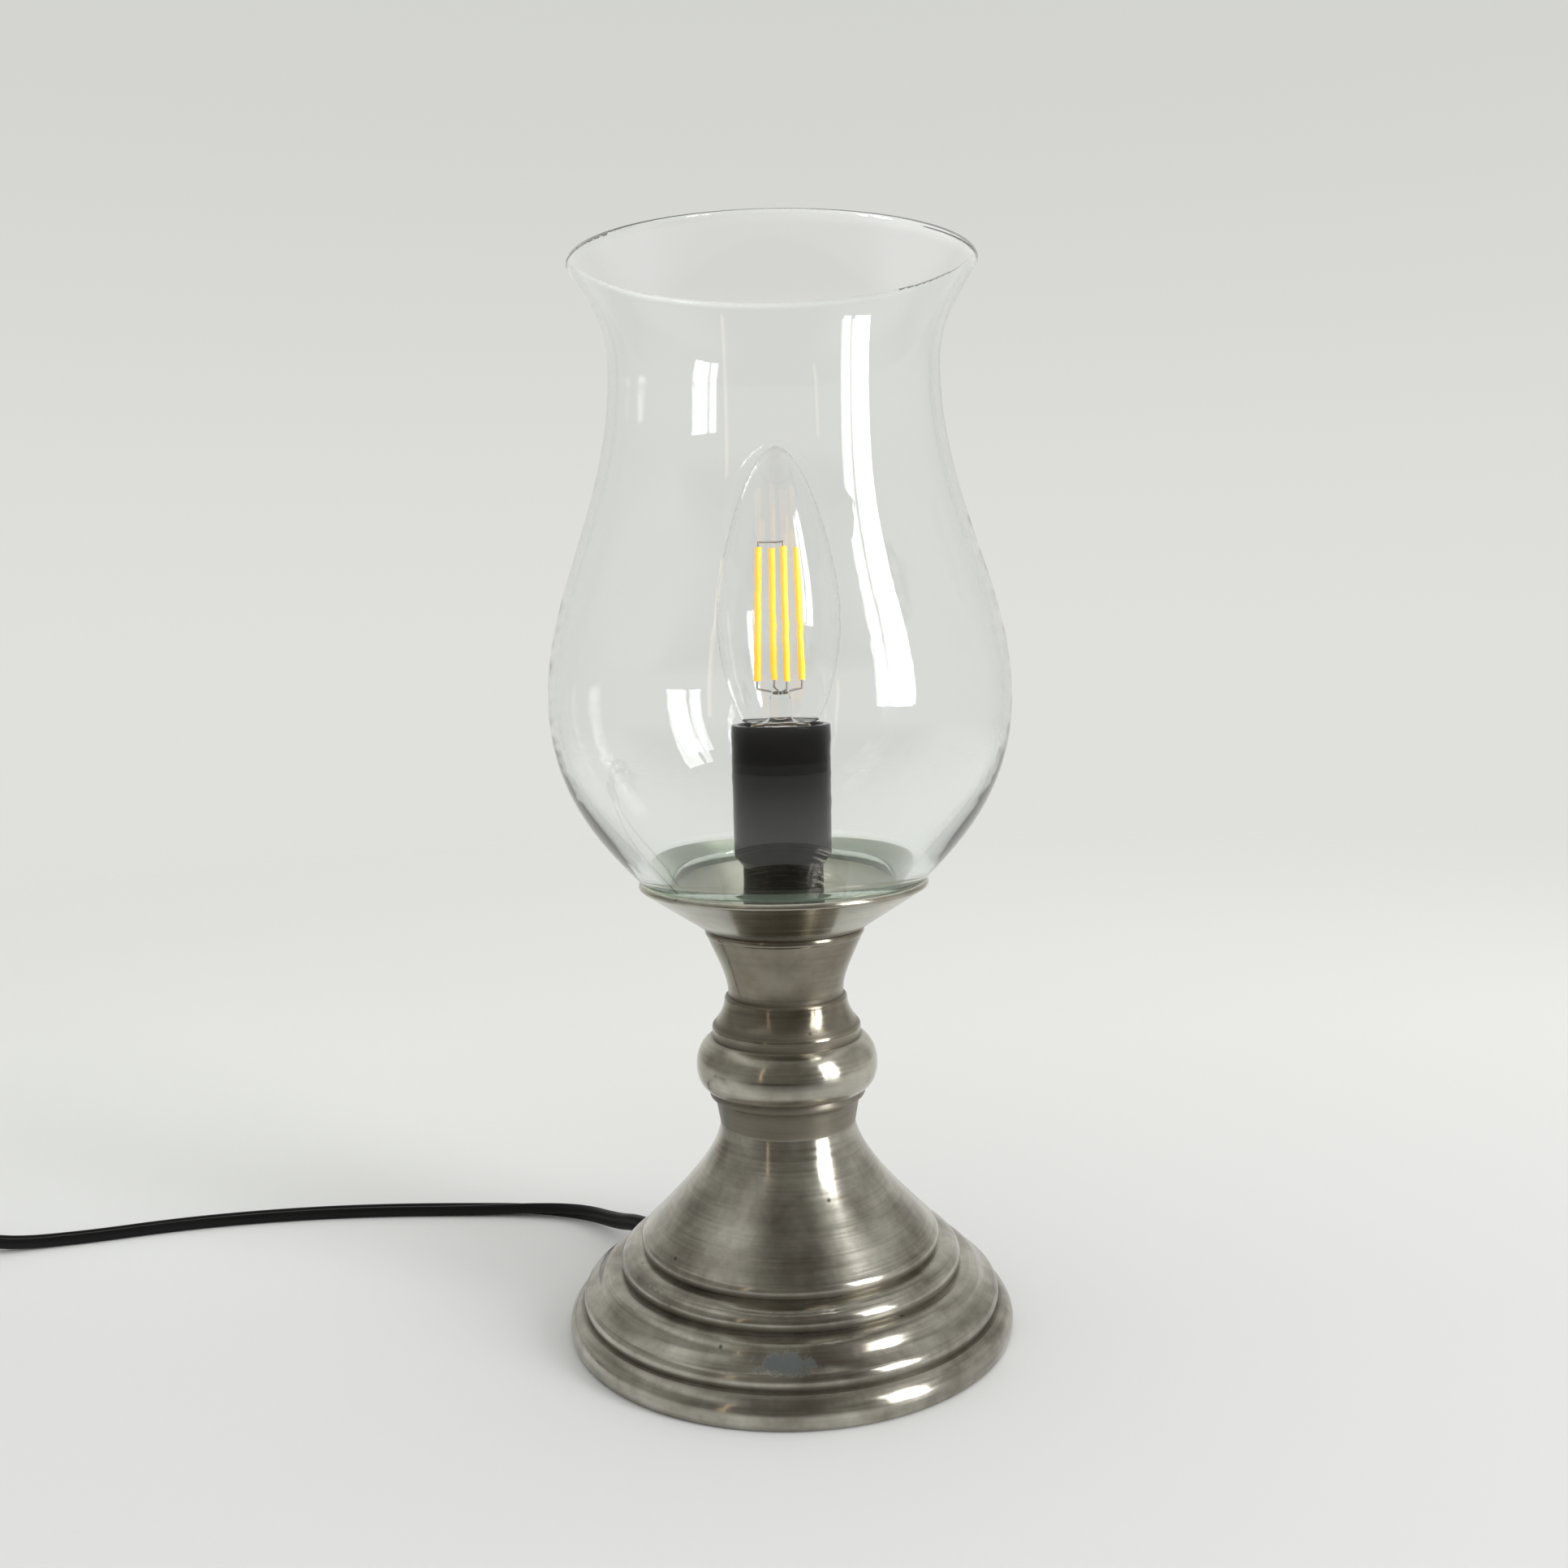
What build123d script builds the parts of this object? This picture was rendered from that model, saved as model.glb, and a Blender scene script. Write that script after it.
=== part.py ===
from build123d import *

import os
from math import cos, hypot, pi, radians, sin, sqrt, tan

# Electric table lamp with an open, vase-shaped glass shade on a turned pewter stand.
# Millimetres, +Z up. The origin is on the floor under the lamp's axis, and -Y is the front.

# Underside of the foot
FELT_THICKNESS = 1.5
FELT_INSET = 0.4
FELT_PROUD = 0.5
PLATE_THICKNESS = 2.0
PLATE_INSET = 4.6
PLATE_CLEARANCE = 0.4
WEIGHT_INSET = 11.8
WEIGHT_BORE_RADIUS = 17.0
WEIGHT_HEIGHT = 10.5
WEIGHT_CHAMFER = 2.0
SCREW_INSET = 6.4
SCREW_COUNT = 3
SCREW_RADIUS = 1.5
SCREW_LENGTH = 9.0
SCREW_HEAD_RADIUS = 2.8
SCREW_HEAD_HEIGHT = 1.6
SCREW_BOSS_RADIUS = 3.3
SCREW_BOSS_HEIGHT = 9.5
SCREW_CLEARANCE = 0.15

# Foot, from the bottom bead up to its seam with the knop
BEAD_RADIUS = 65.0
BEAD_HEIGHT = 8.1
OGEE_INSET = 4.2
OGEE_HEIGHT = 10.5
ROLL_RADIUS = 49.8
ROLL_HEIGHT = 6.2
TRUMPET_RADIUS = 43.7
TRUMPET_HEIGHT = 35.5
SEAM_RADIUS = 19.7
GROOVE_DEPTH = 0.8
FOOT_WALL = 3.0
FOOT_TOP_THICKNESS = 8.8

# Knop, neck and dish
KNOP_HEIGHT = 25.7
KNOP_RADIUS = 26.3
KNOP_RING_RADIUS = 22.5
KNOP_TOP_RADIUS = 22.0
NECK_HEIGHT = 32.3
NECK_BAND_RADIUS = 21.6
NECK_WAIST_RADIUS = 16.7
NECK_STEP = 1.1
NECK_LIP_RADIUS = 23.0
STEM_WALL = 3.0
DISH_RADIUS = 41.6
DISH_FLOOR_RADIUS = 23.5
DISH_WALL = 1.8
DISH_SLOPE = 33.7

# Clamping tube through the stand
TUBE_RADIUS = 5.0
TUBE_BORE_RADIUS = 4.0
TUBE_CLEARANCE = 0.2
TUBE_END = 3.0
TUBE_ENGAGEMENT = 11.0
NUT_ACROSS_FLATS = 14.0
NUT_HEIGHT = 4.0
WASHER_RADIUS = 13.0
WASHER_THICKNESS = 1.5

# Lamp holder for the small screw cap
HOLDER_RADIUS = 14.2
HOLDER_WALL = 2.2
HOLDER_NECK_RADIUS = 11.7
HOLDER_NECK_HEIGHT = 14.7
HOLDER_SHELL_HEIGHT = 41.2
HOLDER_CHAMFER = 2.0
HOLDER_EDGE_FILLET = 0.6
HOLDER_FIT = 0.3
HOLDER_CAP_HEIGHT = 27.2
HOLDER_CHAMBER_RADIUS = 9.5
HOLDER_CHAMBER_DEPTH = 13.5
INSERT_HEIGHT = 24.0
INSERT_FLOOR = 5.0
LINER_RADIUS = 7.6
LINER_WALL = 0.4
LINER_HEIGHT = 17.8
LINER_LIFT = 1.0
CONTACT_RADIUS = 3.2
CONTACT_THICKNESS = 1.2
CONTACT_RIVET_RADIUS = 1.4
TERMINAL_SPREAD = 6.4
TERMINAL_RADIUS = 1.5
TERMINAL_HEAD_RADIUS = 2.4
TERMINAL_HEAD_HEIGHT = 1.8
TERMINAL_LENGTH = 4.0

# Candle bulb with four straight filaments
BULB_RADIUS = 17.5
BULB_TIP = 78.0
BULB_WIDEST = 31.0
BULB_SHOULDER_RADIUS = 11.0
BULB_SHOULDER = 1.6
BULB_GLASS_WALL = 0.8
BULB_CAP_HEIGHT = 16.5
BULB_CAP_ROOT_RADIUS = 6.45
BULB_CAP_CREST_RADIUS = 6.95
BULB_CAP_WALL = 0.5
BULB_COLLAR_RADIUS = 8.6
BULB_COLLAR_HEIGHT = 3.0
BULB_THREAD_PITCH = 2.82
BULB_THREAD_TURNS = 4
INSULATOR_HEIGHT = 3.4
BULB_CONTACT_RADIUS = 2.4
BULB_CONTACT_HEIGHT = 1.8
BULB_CONTACT_GAP = 0.3
MOUNT_RADIUS = 3.2
MOUNT_HEIGHT = 10.0
FILAMENT_COUNT = 4
FILAMENT_RADIUS = 0.95
FILAMENT_LENGTH = 37.0
FILAMENT_LIFT = 13.0
FILAMENT_TOP_CIRCLE = 5.6
FILAMENT_FOOT_CIRCLE = 6.6
FILAMENT_TURN = 17.0
WIRE_RADIUS = 0.3
WIRE_GAP = 0.05

# Glass shade
SHADE_RIM_RADIUS = 56.3
SHADE_NECK_RADIUS = 46.0
SHADE_BELLY_RADIUS = 65.2
SHADE_FOOT_RADIUS = 41.3
SHADE_MOUTH_RADIUS = 34.5
SHADE_RIM_HEIGHT = 302.5
SHADE_FLARE_HEIGHT = 27.5
SHADE_BELLY_HEIGHT = 184.4
SHADE_WALL = 2.4
SHADE_FOOT_WALL = 4.0
SHADE_SEAT_GAP = 0.2

# Cord, its bushing, switch and plug
CORD_RADIUS = 2.5
CORD_CLEARANCE = 0.2
CORD_EXIT_AZIMUTH = 134.0
CORD_EXIT_HEIGHT = 8.4
BUSHING_RADIUS = 3.8
BUSHING_FLANGE_RADIUS = 4.6
BUSHING_FLANGE_THICKNESS = 2.0
BUSHING_NOSE_LENGTH = 4.5
BUSHING_NOSE_RADIUS = 3.3
BUSHING_FIT = 0.2
COIL_RADIUS = 43.0
COIL_PITCH = 5.6
COIL_TURNS_IN = 7
COIL_TURNS_OUT = 5
COIL_HEIGHT = 3.9
TIE_WIDTH = 10.0
TIE_THICKNESS = 0.9
TIE_GAP = 0.5
SWITCH_LENGTH = 58.0
SWITCH_WIDTH = 22.0
SWITCH_CORNER = 9.0
SWITCH_LOWER_HEIGHT = 8.5
SWITCH_UPPER_HEIGHT = 8.0
SWITCH_WALL = 2.0
SWITCH_HEADING = 191.0
SWITCH_POST_SPREAD = 19.0
SWITCH_POST_RADIUS = 3.2
ROCKER_LENGTH = 16.0
ROCKER_WIDTH = 10.0
ROCKER_CLEARANCE = 0.7
ROCKER_RISE = 2.2
ROCKER_PIN_RADIUS = 1.2
ROCKER_TILT = 8.0
PLUG_HEADING = 3.0
PLUG_WIDTH = 35.3
PLUG_HEIGHT = 13.7
PLUG_FACE_DEPTH = 12.0
PLUG_BODY_LENGTH = 32.0
PLUG_GRIP_WIDTH = 15.0
PLUG_GRIP_HEIGHT = 11.5
PLUG_RELIEF_LENGTH = 20.0
PLUG_RELIEF_RADIUS = 3.4
PLUG_PIN_RADIUS = 2.0
PLUG_PIN_LENGTH = 19.0
PLUG_PIN_SPACING = 18.6

# Points of the cord's free stretches, chosen along its lie on the floor
EXIT_RUN = 8.0
LEAD_POINTS = [
    (-59.5, 68.0, 3.2),
    (-73.0, 79.4, 2.7),
    (-89.8, 80.8, 2.7),
    (-113.7, 82.7, 2.6),
    (-139.7, 83.4, 2.7),
    (-164.7, 82.3, 2.6),
    (-190.5, 78.9, 2.7),
    (-214.9, 73.3, 2.6),
    (-239.5, 64.8, 2.7),
    (-264.6, 58.1, 3.3),
]
SWITCH_START = (-295.9, 51.4, SWITCH_LOWER_HEIGHT)
SWITCH_RUN = 16.0
LINK_STEPS = [
    (10.0, SWITCH_HEADING, SWITCH_LOWER_HEIGHT),
    (18.0, SWITCH_HEADING, COIL_HEIGHT),
    (10.0, SWITCH_HEADING, COIL_HEIGHT),
]
TAIL_STEPS = [
    (8.0, SWITCH_HEADING - 180, COIL_HEIGHT + COIL_PITCH),
    (14.0, PLUG_HEADING + 4, PLUG_HEIGHT / 2),
    (8.0, PLUG_HEADING, PLUG_HEIGHT / 2),
]

os.makedirs("parts", exist_ok=True)
pieces = {}


def keep(name, piece):
    """Write one piece under its own name."""
    piece.part.label = name
    pieces[name] = piece
    export_step(piece.part, f"parts/{name}.step")


def turned(*outline, mode=Mode.ADD):
    """Revolve a closed outline of (radius, height) points about the lamp's axis."""
    with BuildSketch(Plane.XZ) as section:
        with BuildLine():
            Polyline(*outline, close=True)
        make_face()
    revolve(section.sketch, axis=Axis.Z, mode=mode)


def ring(inner, outer, bottom, height, mode=Mode.ADD):
    """A plain ring about the lamp's axis."""
    top = bottom + height
    turned((inner, bottom), (outer, bottom), (outer, top), (inner, top), mode=mode)


def within(low, high):
    """A function that gives a point of the box between two corners by its shares of width and height."""
    return lambda u, v: (low[0] + (high[0] - low[0]) * u, low[1] + (high[1] - low[1]) * v)


def heading(azimuth):
    """The level unit vector at an azimuth in degrees."""
    return Vector(cos(radians(azimuth)), sin(radians(azimuth)), 0)


# Heights of the stack, each from the piece below it
rim_z = FELT_PROUD
plate_z = FELT_THICKNESS
cavity_z = plate_z + PLATE_THICKNESS
ogee_z = rim_z + BEAD_HEIGHT
roll_z = ogee_z + OGEE_HEIGHT
trumpet_z = roll_z + ROLL_HEIGHT
knop_z = trumpet_z + TRUMPET_HEIGHT
neck_z = knop_z + KNOP_HEIGHT
dish_z = neck_z + NECK_HEIGHT
holder_z = dish_z + DISH_WALL
shell_z = holder_z + HOLDER_NECK_HEIGHT
insert_z = holder_z + HOLDER_CAP_HEIGHT
contact_z = insert_z + INSERT_FLOOR
bulb_z = contact_z + CONTACT_THICKNESS + BULB_CONTACT_GAP
bulb_cap_z = bulb_z + BULB_CONTACT_HEIGHT + INSULATOR_HEIGHT
bulb_glass_z = bulb_cap_z + BULB_CAP_HEIGHT
foot_ceiling_z = knop_z - FOOT_TOP_THICKNESS
tube_bottom_z = foot_ceiling_z - WASHER_THICKNESS - NUT_HEIGHT - TUBE_END
tube_top_z = holder_z + TUBE_ENGAGEMENT
tube_hole = TUBE_RADIUS + TUBE_CLEARANCE

ogee_radius = BEAD_RADIUS - OGEE_INSET
plate_radius = BEAD_RADIUS - PLATE_INSET
felt_radius = plate_radius - FELT_INSET
screw_circle = ogee_radius - SCREW_INSET
weight_radius = ogee_radius - WEIGHT_INSET
shade_neck_z = SHADE_RIM_HEIGHT - SHADE_FLARE_HEIGHT

exit_way = heading(CORD_EXIT_AZIMUTH)
bushing_seat = ogee_radius - GROOVE_DEPTH
exit_radius = bushing_seat + BUSHING_FLANGE_THICKNESS + BUSHING_NOSE_LENGTH
exit_point = exit_way * exit_radius + Vector(0, 0, CORD_EXIT_HEIGHT)
exit_plane = Plane(origin=(0, 0, CORD_EXIT_HEIGHT), x_dir=(0, 0, 1), z_dir=exit_way)

# Felt pad under the foot
with BuildPart() as felt_pad:
    ring(0, felt_radius, 0, FELT_THICKNESS)
keep("felt_pad", felt_pad)

# Steel plate that closes the foot, with countersunk holes for its screws
with BuildPart() as base_plate:
    ring(0, plate_radius, plate_z, PLATE_THICKNESS)
    with PolarLocations(screw_circle, SCREW_COUNT, CORD_EXIT_AZIMUTH + 60):
        with Locations((0, 0, plate_z)):
            Cylinder(
                SCREW_RADIUS + SCREW_CLEARANCE,
                PLATE_THICKNESS,
                align=(Align.CENTER, Align.CENTER, Align.MIN),
                mode=Mode.SUBTRACT,
            )
            Cone(
                SCREW_HEAD_RADIUS + SCREW_CLEARANCE,
                SCREW_RADIUS + SCREW_CLEARANCE,
                SCREW_HEAD_HEIGHT + SCREW_CLEARANCE,
                align=(Align.CENTER, Align.CENTER, Align.MIN),
                mode=Mode.SUBTRACT,
            )
keep("base_plate", base_plate)

with BuildPart() as base_screws:
    with PolarLocations(screw_circle, SCREW_COUNT, CORD_EXIT_AZIMUTH + 60):
        with Locations((0, 0, plate_z)):
            Cylinder(SCREW_RADIUS, SCREW_LENGTH, align=(Align.CENTER, Align.CENTER, Align.MIN))
            Cone(
                SCREW_HEAD_RADIUS,
                SCREW_RADIUS,
                SCREW_HEAD_HEIGHT,
                align=(Align.CENTER, Align.CENTER, Align.MIN),
            )
keep("base_screws", base_screws)

# Cast iron weight ring on the plate, with a slot for the cord
with BuildPart() as base_weight:
    weight_top = cavity_z + WEIGHT_HEIGHT
    turned(
        (WEIGHT_BORE_RADIUS, cavity_z),
        (weight_radius, cavity_z),
        (weight_radius, weight_top - WEIGHT_CHAMFER),
        (weight_radius - WEIGHT_CHAMFER, weight_top),
        (WEIGHT_BORE_RADIUS, weight_top),
    )
    with BuildSketch(exit_plane.offset(WEIGHT_BORE_RADIUS / 2)):
        SlotCenterToCenter(2 * WEIGHT_HEIGHT, 2 * (CORD_RADIUS + 1))
    extrude(amount=weight_radius, mode=Mode.SUBTRACT)
keep("base_weight", base_weight)

# Hollow pewter foot: bottom bead, ogee, roll and trumpet, each stepped in by a groove
ogee = within((ROLL_RADIUS - GROOVE_DEPTH, ogee_z), (ogee_radius, roll_z))
roll = within((TRUMPET_RADIUS - GROOVE_DEPTH, roll_z), (ROLL_RADIUS, trumpet_z))
edge = within((TRUMPET_RADIUS - GROOVE_DEPTH, trumpet_z), (TRUMPET_RADIUS, trumpet_z + 3.9))
trumpet_start = (TRUMPET_RADIUS - 1.1, trumpet_z + 3.9)
trumpet = within((SEAM_RADIUS, trumpet_start[1]), (trumpet_start[0], knop_z))
bead_top = (ogee_radius + GROOVE_DEPTH, ogee_z)
rebate_radius = plate_radius + PLATE_CLEARANCE
with BuildPart() as foot:
    with BuildSketch(Plane.XZ):
        with BuildLine():
            bead_start = (BEAD_RADIUS - 0.6, rim_z)
            ThreePointArc(bead_start, (BEAD_RADIUS - 0.27, rim_z + 0.555 * BEAD_HEIGHT), bead_top)
            Polyline(bead_top, (ogee_radius - GROOVE_DEPTH, ogee_z), ogee(0.95, 0.04))
            ThreePointArc(ogee(0.95, 0.04), ogee(1, 0.2), ogee(0.907, 0.43))
            Bezier(ogee(0.907, 0.43), ogee(0.754, 0.524), ogee(0.644, 0.6), ogee(0.576, 0.743))
            Bezier(ogee(0.576, 0.743), ogee(0.508, 0.886), ogee(0.407, 0.971), ogee(0.203, 0.99))
            Polyline(ogee(0.203, 0.99), ogee(0, 1), roll(0.93, 0.08))
            ThreePointArc(roll(0.93, 0.08), roll(1, 0.387), roll(0.754, 0.758))
            Bezier(roll(0.754, 0.758), roll(0.58, 0.935), roll(0.333, 0.95), roll(0.1, 0.98))
            Polyline(roll(0.1, 0.98), roll(0, 1), edge(0.4, 0.1))
            ThreePointArc(edge(0.4, 0.1), edge(1, 0.46), trumpet_start)
            Bezier(trumpet_start, trumpet(0.441, 0.411), trumpet(0.057, 0.72), (SEAM_RADIUS, knop_z))
            Polyline((SEAM_RADIUS, knop_z), (0, knop_z), (0, rim_z), bead_start)
        make_face()
    revolve(axis=Axis.Z)
    ring(0, rebate_radius, 0, cavity_z, mode=Mode.SUBTRACT)
    cavity_radius = ogee_radius - GROOVE_DEPTH - FOOT_WALL
    turned(
        (0, cavity_z),
        (cavity_radius, cavity_z),
        (cavity_radius, ogee_z),
        (ROLL_RADIUS - GROOVE_DEPTH - FOOT_WALL, roll_z - 2),
        (TRUMPET_RADIUS - GROOVE_DEPTH - FOOT_WALL, trumpet_z + 0.5),
        (SEAM_RADIUS - 1.7, foot_ceiling_z),
        (0, foot_ceiling_z),
        mode=Mode.SUBTRACT,
    )
    with PolarLocations(screw_circle, SCREW_COUNT, CORD_EXIT_AZIMUTH + 60):
        with Locations((0, 0, cavity_z)):
            Cylinder(
                SCREW_BOSS_RADIUS,
                SCREW_BOSS_HEIGHT,
                align=(Align.CENTER, Align.CENTER, Align.MIN),
            )
            Cylinder(
                SCREW_RADIUS + SCREW_CLEARANCE,
                SCREW_LENGTH - PLATE_THICKNESS + 0.5,
                align=(Align.CENTER, Align.CENTER, Align.MIN),
                mode=Mode.SUBTRACT,
            )
    ring(0, tube_hole, foot_ceiling_z - 1, FOOT_TOP_THICKNESS + 2, mode=Mode.SUBTRACT)
    with BuildSketch(exit_plane.offset(cavity_radius - FOOT_WALL)):
        Circle(BUSHING_RADIUS + BUSHING_FIT)
    extrude(amount=3 * FOOT_WALL, mode=Mode.SUBTRACT)
    with BuildSketch(exit_plane.offset(bushing_seat)):
        Circle(BUSHING_FLANGE_RADIUS + BUSHING_FIT)
    extrude(amount=3 * FOOT_WALL, mode=Mode.SUBTRACT)
keep("foot", foot)

# Rubber bushing where the cord leaves the foot
with BuildPart() as cord_bushing:
    with BuildSketch(exit_plane.offset(cavity_radius - 1)):
        Circle(BUSHING_RADIUS)
    extrude(amount=bushing_seat - cavity_radius + 1)
    with BuildSketch(exit_plane.offset(bushing_seat)):
        Circle(BUSHING_FLANGE_RADIUS)
    extrude(amount=BUSHING_FLANGE_THICKNESS)
    with BuildSketch(exit_plane.offset(bushing_seat + BUSHING_FLANGE_THICKNESS)):
        Circle(BUSHING_FLANGE_RADIUS - 0.7)
    with BuildSketch(exit_plane.offset(exit_radius)):
        Circle(BUSHING_NOSE_RADIUS)
    loft()
    with BuildSketch(exit_plane.offset(cavity_radius - 2)):
        Circle(CORD_RADIUS + CORD_CLEARANCE)
    extrude(amount=exit_radius, mode=Mode.SUBTRACT)
keep("cord_bushing", cord_bushing)

# Washer, nut and tube that clamp the stand together
with BuildPart() as foot_washer:
    ring(tube_hole, WASHER_RADIUS, foot_ceiling_z - WASHER_THICKNESS, WASHER_THICKNESS)
keep("foot_washer", foot_washer)

with BuildPart() as foot_nut:
    nut_z = foot_ceiling_z - WASHER_THICKNESS - NUT_HEIGHT
    with BuildSketch(Plane.XY.offset(nut_z)):
        RegularPolygon(NUT_ACROSS_FLATS / 2, 6, major_radius=False)
        Circle(tube_hole, mode=Mode.SUBTRACT)
    extrude(amount=NUT_HEIGHT)
keep("foot_nut", foot_nut)

with BuildPart() as stem_tube:
    ring(TUBE_BORE_RADIUS, TUBE_RADIUS, tube_bottom_z, tube_top_z - tube_bottom_z)
keep("stem_tube", stem_tube)

# Hollow knop between the foot and the neck
collar_top = (KNOP_RING_RADIUS - 1.7, knop_z + 6.3)
ring_low = (KNOP_RING_RADIUS, knop_z + 8.5)
ring_high = (KNOP_RING_RADIUS - 0.1, knop_z + 10)
knop_start = (KNOP_RING_RADIUS - 0.3, knop_z + 10.4)
knop_widest = (KNOP_RADIUS, knop_z + 0.675 * KNOP_HEIGHT)
with BuildPart() as knop_piece:
    with BuildSketch(Plane.XZ):
        with BuildLine():
            Line((SEAM_RADIUS, knop_z), collar_top)
            Bezier(collar_top, (collar_top[0] + 0.2, ring_low[1] - 0.8), ring_low)
            ThreePointArc(ring_low, (KNOP_RING_RADIUS + 0.2, ring_low[1] + 0.8), ring_high)
            Line(ring_high, knop_start)
            Bezier(
                knop_start,
                (KNOP_RADIUS - 0.9, knop_start[1] + 0.8),
                (KNOP_RADIUS, knop_widest[1] - 2.8),
                knop_widest,
            )
            Bezier(
                knop_widest,
                (KNOP_RADIUS, knop_widest[1] + 3.3),
                (KNOP_RADIUS - 1.1, neck_z - 1.9),
                (KNOP_TOP_RADIUS, neck_z),
            )
            Polyline((KNOP_TOP_RADIUS, neck_z), (0, neck_z), (0, knop_z), (SEAM_RADIUS, knop_z))
        make_face()
    revolve(axis=Axis.Z)
    turned(
        (0, knop_z),
        (SEAM_RADIUS - STEM_WALL, knop_z),
        (SEAM_RADIUS - STEM_WALL, knop_start[1]),
        (KNOP_RADIUS - 1.3 * STEM_WALL, knop_widest[1] - 3),
        (KNOP_RADIUS - 1.3 * STEM_WALL, knop_widest[1] + 2),
        (KNOP_TOP_RADIUS - 1.6 * STEM_WALL, neck_z - STEM_WALL),
        (0, neck_z - STEM_WALL),
        mode=Mode.SUBTRACT,
    )
    ring(0, tube_hole, neck_z - STEM_WALL - 1, STEM_WALL + 2, mode=Mode.SUBTRACT)
keep("knop", knop_piece)

# Neck: a band and bell at the bottom, a waist, and a flared lip under the dish
band_top = (NECK_BAND_RADIUS, neck_z + 2.7)
bell_start = (NECK_BAND_RADIUS - 0.2, neck_z + 3.4)
bell_end = (NECK_WAIST_RADIUS + NECK_STEP, neck_z + 10.8)
waist = (NECK_WAIST_RADIUS, neck_z + 12.2)
flare_end = (NECK_LIP_RADIUS - 0.5, dish_z - 2.5)
lip_end = (NECK_LIP_RADIUS - 0.8, dish_z)
with BuildPart() as neck:
    with BuildSketch(Plane.XZ):
        with BuildLine():
            Line((NECK_BAND_RADIUS - 0.2, neck_z), band_top)
            Line(band_top, bell_start)
            Bezier(
                bell_start,
                (bell_end[0] + 1.5, neck_z + 5.8),
                (bell_end[0] + 0.3, neck_z + 8),
                bell_end,
            )
            Bezier(bell_end, (bell_end[0], waist[1] - 0.2), waist)
            Bezier(
                waist,
                (NECK_WAIST_RADIUS - 0.1, neck_z + 18),
                (NECK_LIP_RADIUS - 3.1, neck_z + 0.73 * NECK_HEIGHT),
                flare_end,
            )
            ThreePointArc(flare_end, (NECK_LIP_RADIUS, dish_z - 1.1), lip_end)
            Polyline(lip_end, (0, dish_z), (0, neck_z), (NECK_BAND_RADIUS - 0.2, neck_z))
        make_face()
    revolve(axis=Axis.Z)
    neck_bore = NECK_WAIST_RADIUS - STEM_WALL
    ring(0, neck_bore, neck_z + STEM_WALL, NECK_HEIGHT, mode=Mode.SUBTRACT)
    ring(0, tube_hole, neck_z - 1, STEM_WALL + 2, mode=Mode.SUBTRACT)
keep("neck", neck)

# Dish: a flat floor and a plain cone with a rounded edge
slope = radians(DISH_SLOPE)
wall_rise = DISH_WALL / cos(slope)
edge_radius = DISH_WALL / 2
rim_outer_r = DISH_RADIUS - edge_radius * (1 - sin(slope))
rim_outer = (rim_outer_r, dish_z + (rim_outer_r - DISH_FLOOR_RADIUS) * tan(slope))
rim_inner = (rim_outer[0] - DISH_WALL * sin(slope), rim_outer[1] + DISH_WALL * cos(slope))
rim_tip = (
    (rim_outer[0] + rim_inner[0]) / 2 + edge_radius * cos(slope),
    (rim_outer[1] + rim_inner[1]) / 2 + edge_radius * sin(slope),
)
floor_corner = DISH_FLOOR_RADIUS - (wall_rise - DISH_WALL) / tan(slope)
with BuildPart() as dish:
    with BuildSketch(Plane.XZ):
        with BuildLine():
            Polyline((tube_hole, dish_z), (DISH_FLOOR_RADIUS, dish_z), rim_outer)
            ThreePointArc(rim_outer, rim_tip, rim_inner)
            Polyline(
                rim_inner,
                (floor_corner, holder_z),
                (tube_hole, holder_z),
                (tube_hole, dish_z),
            )
        make_face()
    revolve(axis=Axis.Z)
keep("dish", dish)

# Lamp holder: cap screwed on the tube, outer shell, insulating insert and contacts
with BuildPart() as holder_cap:
    ring(tube_hole, HOLDER_NECK_RADIUS, holder_z, HOLDER_CAP_HEIGHT)
    chamber_z = insert_z - HOLDER_CHAMBER_DEPTH
    ring(0, HOLDER_CHAMBER_RADIUS, chamber_z, HOLDER_CHAMBER_DEPTH + 1, mode=Mode.SUBTRACT)
keep("holder_cap", holder_cap)

shell_bore = HOLDER_RADIUS - HOLDER_WALL
shell_top = shell_z + HOLDER_SHELL_HEIGHT
with BuildPart() as holder_shell:
    turned(
        (shell_bore, shell_z),
        (HOLDER_RADIUS - HOLDER_CHAMFER, shell_z),
        (HOLDER_RADIUS, shell_z + HOLDER_CHAMFER),
        (HOLDER_RADIUS, shell_top),
        (shell_bore, shell_top),
    )
    fillet(holder_shell.edges().group_by(Axis.Z)[-1], HOLDER_EDGE_FILLET)
keep("holder_shell", holder_shell)

with BuildPart() as holder_insert:
    ring(0, shell_bore - HOLDER_FIT, insert_z, INSERT_HEIGHT)
    ring(0, LINER_RADIUS + HOLDER_FIT, contact_z, INSERT_HEIGHT, mode=Mode.SUBTRACT)
    with Locations((0, 0, insert_z)):
        Cylinder(
            CONTACT_RIVET_RADIUS + TUBE_CLEARANCE,
            INSERT_FLOOR,
            align=(Align.CENTER, Align.CENTER, Align.MIN),
            mode=Mode.SUBTRACT,
        )
    with Locations((-TERMINAL_SPREAD, 0, insert_z), (TERMINAL_SPREAD, 0, insert_z)):
        Cylinder(
            TERMINAL_RADIUS + TUBE_CLEARANCE,
            TERMINAL_LENGTH,
            align=(Align.CENTER, Align.CENTER, Align.MIN),
            mode=Mode.SUBTRACT,
        )
keep("holder_insert", holder_insert)

with BuildPart() as thread_liner:
    ring(LINER_RADIUS - LINER_WALL, LINER_RADIUS, contact_z + LINER_LIFT, LINER_HEIGHT)
    ring(CONTACT_RADIUS + 1, LINER_RADIUS, contact_z, LINER_LIFT)
keep("thread_liner", thread_liner)

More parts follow.
